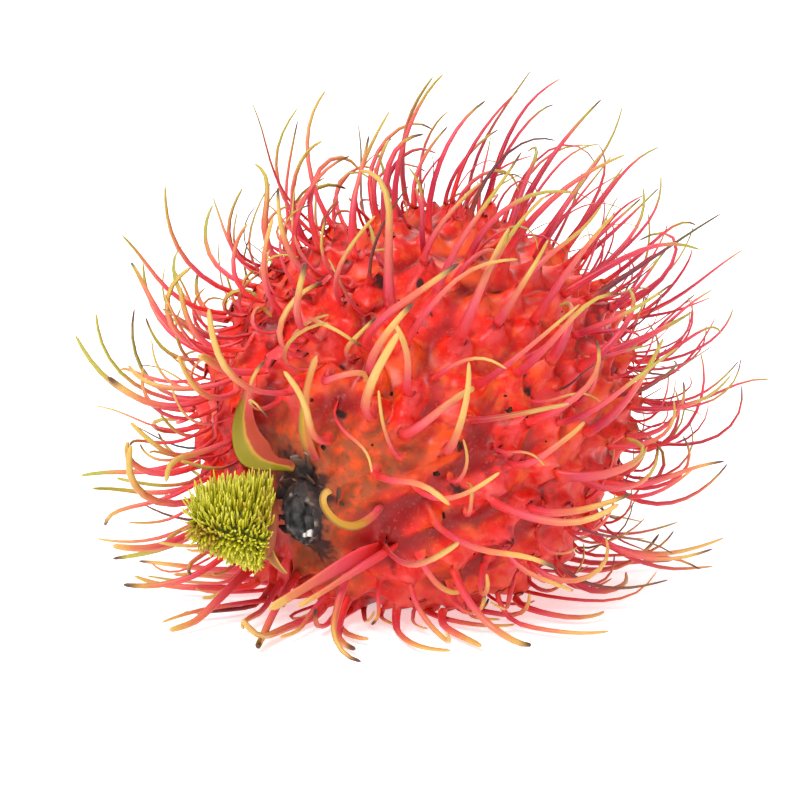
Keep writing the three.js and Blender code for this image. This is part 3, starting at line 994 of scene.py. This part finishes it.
CRUSTS_SEED = 808
SCAR_CORNERS = 11
SCAR_HALF = 0.3  # a crust's half width, as a share of the scar's whole mark
SCAR_SINK = 0.35
SCAR_OFF_BODY = 2.5  # no crust where the skin stands further than this from the bare body
# A crust's rings: their share of its width, and their level, for the widest crusts.
SCAR_RINGS = ((1.0, -0.02), (0.84, 0.08), (0.6, 0.13), (0.32, 0.12))


def build_scars():
    """Low crusts, each set on the skin where it is."""
    skin = bpy.data.objects["rind_and_spines"].data
    tree = BVHTree.FromPolygons(
        [vertex.co for vertex in skin.vertices], [face.vertices for face in skin.polygons]
    )
    draw = Lots(CRUSTS_SEED)
    bm = bmesh.new()
    for scar in scar_places():
        hit = tree.ray_cast(CENTRE * MM, (scar["root"] - CENTRE).normalized())[0]
        if hit is None or (hit / MM - scar["root"]).length > SCAR_OFF_BODY:
            continue
        half = scar["width"] * SCAR_HALF
        face = new_face(bm, SCAR_CORNERS, half)
        lowest = list(face.verts)
        for vertex in lowest:
            rough = draw(0.55, 1.3)
            vertex.co = (vertex.co.x * rough, vertex.co.y * rough, -SCAR_SINK)
        verts = list(lowest)
        for wide, level in SCAR_RINGS:
            face = bmesh.ops.extrude_discrete_faces(bm, faces=[face])["faces"][0]
            for vertex, below in zip(face.verts, lowest):
                lift = level * min(1.0, half * 1.6) * draw(0.6, 1.5)
                vertex.co = (below.co.x * wide, below.co.y * wide, lift)
            verts += list(face.verts)
        verts += bmesh.ops.poke(bm, faces=[face])["verts"]
        bmesh.ops.transform(bm, matrix=upright(hit / MM, scar["out"]), verts=verts)
    finish_piece(bm, "scars", scar_material())


def scar_material():
    """Dried-up skin tissue: almost black, crusty, with brown worn crests."""
    colours = bpy.context.scene.rambutan_colours
    material, tree, shader, place, _ = new_material("Scar crust, dried")
    # crumbs of 0.4 mm
    crust = add(tree, "TexNoise", {"Vector": place, "Scale": 2500, "Detail": 4})
    stops = [(0.5, colours.wood_and_shade), (0.7, colours.wood_pale)]
    bump = {"Strength": 0.7, "Distance": 0.12 * MM, "Height": crust}
    connect(shader, {
        "Base Color": add(tree, "ValToRGB", (crust,), stops=stops),
        "Normal": add(tree, "Bump", bump),
        "Roughness": 0.8,
        "IOR": 1.2,
    })
    return material


# ---- The spines round the stalk: bigger, flat or cupped ----

SCALE_LAYERS = ("along", "across", "face", "kind")
SCALE_RINGS = 30


def build_stalk_spines():
    """The broad spines, each drawn out of a round face under the skin."""
    bm, layers = new_bmesh(SCALE_LAYERS)
    shoots = []
    for spine in stalk_spines():
        line = Line(spine)
        radius = spine["wide"] * spine["foot"]
        rings = scale_rings(spine, line)
        shoots.append(sprout(bm, line.at(-1.5), line.side, line.way(0.2), 24, radius, rings))
    grow(bm, shoots, layers)
    finish_piece(bm, "stalk_spines", scale_material())


def scale_rings(spine, line):
    """Rings of a broad spine: flat, and cupped where the scale is hollow."""
    rings, side = [], line.side
    for n in range(SCALE_RINGS):
        share = (n + 1) / SCALE_RINGS
        way = line.way(share * line.length)
        side = square_to(side, way)
        rolled = Matrix.Rotation(spine["roll"], 3, way) @ side
        centre = line.at(share * line.length)
        centre += from_fruit(*spine["shift"]) * smooth(0, 0.3, share)
        taper = lerp(1.0, spine["tip"], smooth(0.15, 0.75, share))
        taper *= lerp(spine["foot"], 1.0, smooth(0, 0.2, share))
        taper *= math.sqrt(max(0.02, 1 - smooth(0.94, 1.0, share)))
        wide = spine["wide"] * taper
        thick = min(wide, spine["thick"] * (0.45 + 0.55 * taper))
        shape = (thick, spine["cup"] * wide, share, spine["kind"])
        rings.append(cupped(centre, rolled * wide, way.cross(rolled), *shape))
    return rings


def scale_material():
    """Leafy scale tissue, matt: a green keel and a browner inner side, straw yellow, or pink."""
    colours = bpy.context.scene.rambutan_colours
    name = "Stalk scale, leafy and matt"
    material, tree, shader, place, value = new_material(name, SCALE_LAYERS)
    # fibres 1 mm apart
    fibre = add(tree, "TexNoise", {"Vector": place, "Scale": 1100, "Detail": 3})
    shift = add(tree, "Math", (fibre, 0.2, value["along"]), operation="MULTIPLY_ADD")
    shade, straw, rosy = (
        add(tree, "ValToRGB", (shift,), stops=stops)
        for stops in (
            [(0.1, colours.scale_inner), (0.5, colours.scale_inner), (0.7, colours.spine_pink),
             (1.0, colours.spine_salmon)],
            [(0.15, colours.spine_pink), (0.42, colours.scale_gold), (0.85, colours.scale_gold),
             (1.0, colours.spine_yellow)],
            [(0.1, colours.rind_red), (0.5, colours.spine_pink), (0.9, colours.spine_salmon),
             (1.0, colours.spine_yellow)],
        )
    )
    gold = add(tree, "MapRange", (value["kind"], 0.0, 0.5))
    pink = add(tree, "MapRange", (value["kind"], 0.5, 1.0))
    # The green scale: the keel takes a third of its width, and a thin gold line edges it. One
    # edge of the straw yellow ones is brown and dry.
    across = add(tree, "Math", (fibre, 0.25, value["across"]), operation="MULTIPLY_ADD")
    line, keel, dry, leafy = (
        add(tree, "MapRange", (share, *span), interpolation_type="SMOOTHSTEP")
        for share, span in (
            (across, (0.02, 0.16)), (across, (0.15, 0.4)), (across, (0.45, 0.95, 0.0, 0.7)),
            (shift, (0.75, 0.5)),
        )
    )
    line, keel, dry = (
        add(tree, "Math", (share, other), operation="MULTIPLY")
        for share, other in ((line, leafy), (keel, leafy), (dry, gold))
    )
    dry = add(tree, "Math", (pink, -0.5, dry), operation="MULTIPLY_ADD", use_clamp=True)
    for share, over in (
        (line, colours.scale_gold), (keel, colours.scale_green), (gold, straw), (pink, rosy),
        (dry, colours.wood_pale),
    ):
        shade = add(tree, "Mix", {0: share, 6: shade, 7: over}, 2, data_type="RGBA")
    bump = {"Strength": 0.4, "Distance": 0.1 * MM, "Height": fibre}
    connect(shader, {
        "Base Color": shade,
        "Normal": add(tree, "Bump", bump),
        "Roughness": 0.5,
        "IOR": 1.3,
        "Subsurface Weight": 0.12,
        "Subsurface Radius": (0.8, 0.6, 0.2),
        "Subsurface Scale": 0.5 * MM,
    })
    return material


# ---- The stalk's stub ----

STUB_LAYERS = ("pit", "rim")
STUB_SEGMENTS = 96
STUB_TALL = 1.06  # the stub is longer from top to bottom than its radius says
PIT_BOTTOM = STUB_HEIGHT - PIT_DEPTH
SIDE, RIM, PIT = range(3)
# Each ring: its radius, its level, how narrow it is, and which part of the stub it is.
STUB_RINGS = [
    (STUB_RADIUS * 0.95, -STUB_SINK, 0.8, SIDE),
    (STUB_RADIUS * 1.04, -0.3, 0.8, SIDE),
    (STUB_RADIUS * 1.06, 0.1, 0.8, SIDE),
    (STUB_RADIUS * 1.0, STUB_HEIGHT * 0.32, 0.79, SIDE),
    (STUB_RADIUS * 0.95, STUB_HEIGHT * 0.55, 0.78, SIDE),
    (STUB_RADIUS * 0.9, STUB_HEIGHT * 0.78, 0.77, SIDE),
    (STUB_RADIUS * 0.84, STUB_HEIGHT * 0.94, 0.76, RIM),
    (STUB_RADIUS * 0.79, STUB_HEIGHT, 0.75, RIM),
    (PIT_RADIUS * 1.02, STUB_HEIGHT * 0.95, 0.73, RIM),
    (PIT_RADIUS * 0.97, PIT_BOTTOM + PIT_DEPTH * 0.65, 0.71, PIT),
    (PIT_RADIUS * 0.9, PIT_BOTTOM + PIT_DEPTH * 0.3, 0.7, PIT),
    (PIT_RADIUS * 0.78, PIT_BOTTOM + PIT_DEPTH * 0.1, 0.7, PIT),
    (PIT_RADIUS * 0.5, PIT_BOTTOM, 0.7, PIT),
    (PIT_RADIUS * 0.2, PIT_BOTTOM, 0.7, PIT),
]
WHITE_BEADS = ((0.95, 1.45, 0.36), (0.3, 1.75, 0.22))  # right of the middle, below it, and radius


def build_stub():
    """A low collar of bark round a hollow that is narrower from side to side."""
    bm = bmesh.new()
    pit, rim = (bm.verts.layers.float.new(name) for name in STUB_LAYERS)
    face = new_face(bm, STUB_SEGMENTS, STUB_RINGS[0][0])
    bmesh.ops.translate(bm, vec=(0, 0, STUB_RINGS[0][1]), verts=face.verts)
    for radius, level, narrow, part in STUB_RINGS[1:]:
        face = bmesh.ops.extrude_discrete_faces(bm, faces=[face])["faces"][0]
        for vertex in face.verts:
            angle = math.atan2(vertex.co.y / STUB_TALL, vertex.co.x)
            around = Vector((math.cos(angle), math.sin(angle), 0))
            bark = noise.noise(around * 2.2 + UP * level)
            ridge = noise.noise(around * 8 + UP * level * 1.5)
            grown = 1 + (0.07 * bark + 0.05 * ridge) * smooth(-0.5, 0.5, level)
            torn = (0.4 * abs(bark) + 0.45 * abs(ridge)) * smooth(0.9, 1.7, level)
            if part == PIT:
                grown = 1 + 0.05 * bark
                torn = 0.35 * noise.noise(around * (radius * 1.7) + UP * level)
            x, y = around.x * radius * grown * narrow, around.y * radius * grown * STUB_TALL
            vertex.co = (x, y, level - torn)
            vertex[pit] = 1.0 if part == PIT else 0.0
            vertex[rim] = 1.0 if part == RIM else 0.0
    for vertex in bmesh.ops.poke(bm, faces=[face])["verts"]:
        vertex[pit] = 1.0
    place = upright(STALK_FOOT, STALKWARD)
    finish_piece(bm, "stalk_stub_bark", stub_material(), ["stalk_stub"], place)


def stub_material():
    """Dried, broken bark: dark and rough, with a greyer torn rim; the pit still shines with juice,
    and its grey is partly dried juice, partly painted reflection.
    """
    colours = bpy.context.scene.rambutan_colours
    name = "Stalk bark, dried and broken"
    material, tree, shader, place, value = new_material(name, STUB_LAYERS)
    # fibres 0.8 mm apart
    fibres = add(tree, "TexNoise", {"Vector": place, "Scale": 1300, "Detail": 4})
    # the pit's grey smudges are partly dried juice and partly painted reflection
    shade, pit_dregs_and_reflections = (
        add(tree, "ValToRGB", (fibres,), stops=stops)
        for stops in (
            [(0.5, colours.wood_and_shade), (0.78, colours.wood_pale)],
            [(0.42, colours.pit_dark), (0.7, colours.pit_grey_and_reflection)],
        )
    )
    worn = add(tree, "MapRange", (fibres, 0.52, 0.68, 0.0, 0.7))
    worn = add(tree, "Math", (worn, value["rim"]), operation="MULTIPLY")
    for share, over in ((worn, colours.scrap_grey), (value["pit"], pit_dregs_and_reflections)):
        shade = add(tree, "Mix", {0: share, 6: shade, 7: over}, 2, data_type="RGBA")
    bump = {"Strength": 0.5, "Distance": 0.15 * MM, "Height": fibres}
    connect(shader, {
        "Base Color": shade,
        "Normal": add(tree, "Bump", bump),
        "Roughness": add(tree, "MapRange", (value["pit"], 0.0, 1.0, 0.65, 0.42)),
    })
    return material


def build_white_beads():
    """Two off-white beads, low on the hollow's right."""
    bm = bmesh.new()
    for right, down, radius in WHITE_BEADS:
        verts = bmesh.ops.create_icosphere(bm, subdivisions=3, radius=radius)["verts"]
        for vertex in verts:
            vertex.co *= 1 + 0.35 * noise.noise(vertex.co / radius * 1.3)
        lift = STUB_HEIGHT - 0.45 + radius * 0.4
        bmesh.ops.translate(bm, vec=(right, -down, lift), verts=verts)
    finish_piece(bm, "sap", white_bead_material(), place=upright(STALK_FOOT, STALKWARD))


def white_bead_material():
    """Off-white and a little glassy, with grey clouds."""
    colours = bpy.context.scene.rambutan_colours
    material, tree, shader, place, _ = new_material("White beads, glassy")
    # clouds of 0.4 mm
    cloudy = add(tree, "TexNoise", {"Vector": place, "Scale": 2500, "Detail": 2})
    clouds = {0: cloudy, 6: colours.scrap_grey, 7: colours.sap}
    connect(shader, {
        "Base Color": add(tree, "Mix", clouds, 2, data_type="RGBA"),
        "Roughness": 0.3,
        "Subsurface Weight": 0.3,
        "Subsurface Radius": (1.0, 0.8, 0.6),
        "Subsurface Scale": 0.3 * MM,
    })
    return material


SCRAPS_SEED = 512
SCRAPS_OVER, SCRAPS_ROUND = 11, 7  # most scraps stand over the stub, a few round the rest of it
SCRAP_LAYERS = ("along", "tone")
# A scrap's rings: their share of its length, and of its width.
SCRAP_RINGS = ((0.2, 1.0), (0.45, 0.95), (0.7, 0.85), (0.9, 0.7), (1.0, 0.45))


def build_scraps():
    """Dried scraps of the flower's leaves, on the skin round the stub."""
    draw = Lots(SCRAPS_SEED)
    bm, layers = new_bmesh(SCRAP_LAYERS)
    shoots = []
    for i in range(SCRAPS_OVER + SCRAPS_ROUND):
        over = i < SCRAPS_OVER
        around = math.radians(45 + 9 * i if over else 150 + 33 * (i - SCRAPS_OVER))
        around += draw(-0.25, 0.25)
        outward = ACROSS * math.cos(around) + OVER * math.sin(around)
        away = draw(2.3, 4.3) if over else draw(2.4, 3.0)
        foot = STALK_FOOT + outward * away - STALKWARD * 0.45
        way = (STALKWARD + outward * draw(0.3, 3.0)).normalized()
        side = (STALKWARD.cross(outward) + STALKWARD * draw(-0.9, 0.9)).normalized()
        side = square_to(side, way)
        half = draw(0.25, 0.85)
        length = draw(1.1, 2.2) if over else draw(0.7, 1.3)
        bend = draw(-0.4, 0.9)
        tone = draw(-1, 1)
        rings = []
        for share, wide in SCRAP_RINGS:
            wide *= half * draw(0.45, 1.4)
            slip = side * (0.7 * half * draw(-1, 1))
            centre = foot + way * length * share + outward * bend * share**2 + slip
            rings.append(oval(centre, side * wide, way.cross(side) * 0.08, (share, tone)))
        shoots.append(sprout(bm, foot, side, way, 10, half, rings))
    grow(bm, shoots, layers)
    finish_piece(bm, "stalk_scraps", scrap_material())


def scrap_material():
    """Papery dead leaf tissue: dark brown, greyer and paler at its torn ends."""
    colours = bpy.context.scene.rambutan_colours
    name = "Dead leaf scraps, papery"
    material, tree, shader, place, value = new_material(name, SCRAP_LAYERS)
    # fibres 0.5 mm apart
    fibres = add(tree, "TexNoise", {"Vector": place, "Scale": 2200, "Detail": 4})
    shift = value["along"]
    for mover, much in ((value["tone"], 0.25), (fibres, 0.3)):
        shift = add(tree, "Math", (mover, much, shift), operation="MULTIPLY_ADD")
    shift = add(tree, "Math", (shift, 0.65), operation="MULTIPLY")
    stops = [(0.35, colours.wood_and_shade), (0.75, colours.wood_pale), (0.95, colours.scrap_grey)]
    shade = add(tree, "ValToRGB", (shift,), stops=stops)
    connect(shader, {"Base Color": shade, "Roughness": 0.75})
    return material


# ---- The fruitlet ----

FRUITLET_LAYERS = ("along", "tone", "base")
BRISTLES_SEED = 77
CORE_LENGTH = FRUITLET_LENGTH - 0.5
CORE_SHARES = (0.0, 0.04, 0.07, 0.11, 0.2, 0.32, 0.45, 0.58, 0.7, 0.8, 0.89, 0.95, 0.985)
# A bristle's rings: their share of its length, and of its width.
BRISTLE_RINGS = ((0.35, 1.0), (0.7, 0.85), (0.93, 0.62), (1.0, 0.25))


def fruitlet_radius(share):
    full = lerp(FRUITLET_RADIUS, FRUITLET_TIP_RADIUS * 1.5, share**1.3)
    return full * (1 - smooth(0.85, 1.0, share) * 0.75) * lerp(0.96, 1.0, smooth(0, 0.1, share))


def build_core(bm, base):
    """The fruitlet's body under the bristles, along Z."""
    face = new_face(bm, 28, FRUITLET_RADIUS * 0.9)
    for vertex in face.verts:
        vertex[base] = 1.0
        vertex.co.z = -0.25
    for share in CORE_SHARES:
        face = bmesh.ops.extrude_discrete_faces(bm, faces=[face])["faces"][0]
        radius = fruitlet_radius(share)
        for vertex in face.verts:
            angle = math.atan2(vertex.co.y, vertex.co.x)
            vertex.co = (radius * math.cos(angle), radius * math.sin(angle), share * CORE_LENGTH)
            vertex[base] = 1 - smooth(0.07, 0.11, share)
    bmesh.ops.poke(bm, faces=[face])


def build_fruitlet():
    """The fruitlet's core and bristles, made along Z and then laid on the fruit."""
    sizes = bpy.context.scene.rambutan_sizes
    draw = Lots(BRISTLES_SEED)
    bm, layers = new_bmesh(FRUITLET_LAYERS)
    build_core(bm, layers[2])
    place = upright(FRUITLET_FOOT, FRUITLET_WAY)
    up = place.to_3x3().inverted() @ UP
    shoots = []
    for i in range(sizes.bristles):
        share = 0.075 + 0.9 * (i / (sizes.bristles - 1)) ** 1.15
        angle = i * GOLDEN_ANGLE
        outward = Vector((math.cos(angle), math.sin(angle), 0))
        on_top = outward.dot(up)
        at_tip = smooth(0.86, 0.97, share)
        lean = 0.75 * share**2 - 0.05 + 0.4 * (draw() - 0.5)
        twist = 0.6 * (draw() - 0.5)
        round_way = Vector((-outward.y, outward.x, 0))
        way = (outward + Vector((0, 0, lean)) + round_way * twist).normalized()
        foot = outward * (fruitlet_radius(share) - 0.25)
        foot.z = share * CORE_LENGTH
        length = 0.25 + BRISTLE_REACH * draw(0.7, 1.2) * (1 + 0.15 * at_tip)
        length *= lerp(0.72, 1.0, smooth(-0.7, 0.2, on_top))
        width = sizes.bristle_width / MM / 2 * draw(0.8, 1.2)
        width *= lerp(1.25, 1.0, smooth(-0.6, 0.1, on_top)) * lerp(1.0, 0.7, at_tip)
        # they turn up to the light, and those at the tip are limp
        loose = lerp(0.3, 0.9, at_tip)
        droop = Vector([draw(-loose, loose) for _ in range(3)])
        droop += up * (draw(0.5, 1.1) * smooth(-0.75, 0.1, on_top) * (1 - at_tip))
        tone = draw(-1, 1)
        browned = 0.7 * smooth(0.5, 0.75, share) * smooth(0.25, -0.45, on_top)
        browned *= smooth(-0.6, 0.4, tone)
        side = way.orthogonal().normalized()
        other = way.cross(side)
        rings = []
        for reach, thin in BRISTLE_RINGS:
            centre = foot + way * (length * reach) + droop * reach**2
            half = width * thin
            rings.append(oval(centre, side * half, other * half, (reach, tone, browned)))
        shoots.append((new_face(bm, 5, width, upright(foot, way)), (foot, side, other), rings))
    grow(bm, shoots, layers)
    finish_piece(
        bm, "fruitlet_bristles", fruitlet_material(), ["fruitlet"], place
    )


def build_sepal():
    """A narrow green leaf that hangs from under the fruitlet's base."""
    bm, layers = new_bmesh(FRUITLET_LAYERS)
    foot = STALK_FOOT + Vector((-3.5, -0.6, -1.5))
    tip = STALK_FOOT + Vector((-2.1, -2.0, -5.6))
    bulge = Vector((-0.9, -0.5, 0.2))
    way = (tip - foot).normalized()
    side = square_to(Vector((0.75, -0.6, 0.25)).normalized(), way)
    rings = []
    for n in range(1, 13):
        share = n / 12
        centre = foot.lerp(tip, share) + bulge * (4 * share * (1 - share))
        wide = 0.62 * math.sin(math.pi * (0.12 + 0.83 * share)) ** 0.7
        shape = (0.14, 0.3 * wide, 0.55 + 0.3 * share, 0)
        rings.append(cupped(centre, side * wide, way.cross(side), *shape))
    grow(bm, [sprout(bm, foot, side, way, 12, 0.3, rings)], layers)
    finish_piece(bm, "sepal", fruitlet_material())


def fruitlet_material():
    """Soft young tissue: pale, fresh green bristle tips over a deep green core, painted as shade
    between the bristles.
    """
    colours = bpy.context.scene.rambutan_colours
    name = "Fruitlet bristles, soft and green"
    material, tree, shader, place, value = new_material(name, FRUITLET_LAYERS)
    toned = (value["tone"], 0.16, value["along"])
    shift = add(tree, "Math", toned, operation="MULTIPLY_ADD")
    shade = add(tree, "ValToRGB", (shift,), stops=[
        (0.05, colours.fruitlet_painted_shade), (0.4, colours.fruitlet_green),
        (0.8, colours.fruitlet_green), (1.0, colours.fruitlet_pale)])
    # browned patches of 3 mm
    browned = add(tree, "TexNoise", {"Vector": place, "Scale": 330, "Detail": 2})
    browned = add(tree, "MapRange", (browned, 0.58, 0.72, 0.0, 0.6))
    for share in (browned, value["base"]):
        layers = {0: share, 6: shade, 7: colours.scuff}
        shade = add(tree, "Mix", layers, 2, data_type="RGBA")
    connect(shader, {
        "Base Color": shade,
        "Roughness": 0.5,
        "Subsurface Weight": 0.15,
        "Subsurface Radius": (0.6, 1.0, 0.2),
        "Subsurface Scale": 0.5 * MM,
    })
    return material


# ---- The stage ----

CAMERA_ELEVATION = math.radians(12)
CAMERA_DISTANCE = 400.0
SENSOR_WIDTH = 36
VIEW_WIDTH = 79.5
VIEW_LEFT = 1.94
VIEW_RAISED = 1.55
FLOOR_RADIUS = 3.0  # in metres, as are the lights' places and sizes
SKY_STRENGTH = 0.42
LIGHTS = (
    ("soft_key", (-0.25, -0.35, 0.5), 0.35, 4.3),
    ("soft_fill", (0.5, -0.35, 0.3), 0.5, 0.7),
    ("soft_back", (0.1, 0.45, 0.5), 0.5, 2.2),
)


def build_stage():
    """A white floor and sky, three soft lights, and a camera from the stalk's side."""
    bm = bmesh.new()
    new_face(bm, 96, FLOOR_RADIUS)
    floor = add_object("floor", new_mesh(bm, "floor", floor_material()))

    scene = bpy.context.scene
    scene.view_settings.view_transform = "Standard"
    world = bpy.data.worlds.new("white studio")
    world.use_nodes = True
    connect(world.node_tree.nodes["Background"], {"Color": (1, 1, 1), "Strength": SKY_STRENGTH})
    scene.world = world
    for name, place, across, watts in LIGHTS:
        light = bpy.data.lights.new(name, "AREA")
        light.size = across
        light.energy = watts
        lamp = add_object(name, light)
        lamp.location = place
        aim = CENTRE * MM - Vector(place)
        lamp.rotation_euler = aim.to_track_quat("-Z", "Y").to_euler()

    level = Vector((0, math.cos(CAMERA_ELEVATION), -math.sin(CAMERA_ELEVATION)))
    raised = Vector((0, math.sin(CAMERA_ELEVATION), math.cos(CAMERA_ELEVATION)))
    aim = CENTRE + Vector((-VIEW_LEFT, 0, 0)) + raised * VIEW_RAISED
    lens = bpy.data.cameras.new("camera")
    lens.sensor_width = SENSOR_WIDTH
    lens.lens = SENSOR_WIDTH * CAMERA_DISTANCE / VIEW_WIDTH
    lens.clip_start = 0.02
    lens.clip_end = 20
    camera = add_object("camera", lens)
    camera.location = (aim - level * CAMERA_DISTANCE) * MM
    camera.rotation_euler = level.to_track_quat("-Z", "Y").to_euler()
    scene.camera = camera


def floor_material():
    """Pressed paper, matt: its fibres hardly show, and a little light of its own keeps it white."""
    colours = bpy.context.scene.rambutan_colours
    material, tree, shader, place, _ = new_material("White paper, smooth and matt")
    # Fibres of 1 mm: real ones are finer, and would not show.
    fibre = add(tree, "TexNoise", {"Vector": place, "Scale": 900})
    mixed = {0: fibre, 6: colours.floor, 7: colours.floor_fibre}
    connect(shader, {
        "Base Color": add(tree, "Mix", mixed, 2, data_type="RGBA"),
        "Roughness": 0.9,
        "Emission Color": (1, 1, 1),
        "Emission Strength": 0.5,
    })
    return material


# ---- Operators, panel and main ----


class RAMBUTAN_OT_rind(bpy.types.Operator):
    """Make the skin with its mounds and spines"""

    bl_idname = "rambutan.rind"
    bl_label = "Rind and spines"

    def execute(self, context):
        build_rind()
        return {"FINISHED"}


class RAMBUTAN_OT_scars(bpy.types.Operator):
    """Make the dried scars on the skin"""

    bl_idname = "rambutan.scars"
    bl_label = "Scars"

    def execute(self, context):
        build_scars()
        return {"FINISHED"}


class RAMBUTAN_OT_stalk_spines(bpy.types.Operator):
    """Make the broad spines that stand round the stalk"""

    bl_idname = "rambutan.stalk_spines"
    bl_label = "Spines round the stalk"

    def execute(self, context):
        build_stalk_spines()
        return {"FINISHED"}


class RAMBUTAN_OT_stub(bpy.types.Operator):
    """Make the stalk's broken stub"""

    bl_idname = "rambutan.stub"
    bl_label = "Stalk stub"

    def execute(self, context):
        build_stub()
        return {"FINISHED"}


class RAMBUTAN_OT_white_beads(bpy.types.Operator):
    """Make the two off-white beads in the stub's hollow"""

    bl_idname = "rambutan.sap"
    bl_label = "White beads"

    def execute(self, context):
        build_white_beads()
        return {"FINISHED"}


class RAMBUTAN_OT_scraps(bpy.types.Operator):
    """Make the dried scraps round the stub"""

    bl_idname = "rambutan.scraps"
    bl_label = "Scraps round the stub"

    def execute(self, context):
        build_scraps()
        return {"FINISHED"}


class RAMBUTAN_OT_fruitlet(bpy.types.Operator):
    """Make the unripe fruitlet with its bristles"""

    bl_idname = "rambutan.fruitlet"
    bl_label = "Fruitlet"

    def execute(self, context):
        build_fruitlet()
        return {"FINISHED"}


class RAMBUTAN_OT_sepal(bpy.types.Operator):
    """Make the leaf under the fruitlet"""

    bl_idname = "rambutan.sepal"
    bl_label = "Sepal"

    def execute(self, context):
        build_sepal()
        return {"FINISHED"}


class RAMBUTAN_OT_stage(bpy.types.Operator):
    """Make the floor, the lights and the camera"""

    bl_idname = "rambutan.stage"
    bl_label = "Stage"

    def execute(self, context):
        build_stage()
        return {"FINISHED"}


OPERATORS = (
    RAMBUTAN_OT_rind,
    RAMBUTAN_OT_scars,
    RAMBUTAN_OT_stalk_spines,
    RAMBUTAN_OT_stub,
    RAMBUTAN_OT_white_beads,
    RAMBUTAN_OT_scraps,
    RAMBUTAN_OT_fruitlet,
    RAMBUTAN_OT_sepal,
    RAMBUTAN_OT_stage,
)


class RAMBUTAN_PT_panel(bpy.types.Panel):
    """The rambutan's sizes, colours and pieces"""

    bl_idname = "RAMBUTAN_PT_panel"
    bl_label = "Rambutan"
    bl_space_type = "VIEW_3D"
    bl_region_type = "UI"
    bl_category = "Rambutan"

    def draw(self, context):
        for group in (context.scene.rambutan_sizes, context.scene.rambutan_colours):
            box = self.layout.box()
            for name in group.__annotations__:
                box.prop(group, name)
        for operator in OPERATORS:
            self.layout.operator(operator.bl_idname)


CLASSES = (RambutanSizes, RambutanColours, *OPERATORS, RAMBUTAN_PT_panel)


def register():
    for made in CLASSES:
        bpy.utils.register_class(made)
    bpy.types.Scene.rambutan_sizes = PointerProperty(type=RambutanSizes)
    bpy.types.Scene.rambutan_colours = PointerProperty(type=RambutanColours)


def unregister():
    del bpy.types.Scene.rambutan_colours
    del bpy.types.Scene.rambutan_sizes
    for made in reversed(CLASSES):
        bpy.utils.unregister_class(made)


def main():
    register()
    bpy.ops.rambutan.rind()
    bpy.ops.rambutan.scars()
    bpy.ops.rambutan.stalk_spines()
    bpy.ops.rambutan.stub()
    bpy.ops.rambutan.sap()
    bpy.ops.rambutan.scraps()
    bpy.ops.rambutan.fruitlet()
    bpy.ops.rambutan.sepal()
    bpy.ops.rambutan.stage()


if __name__ == "__main__":
    main()
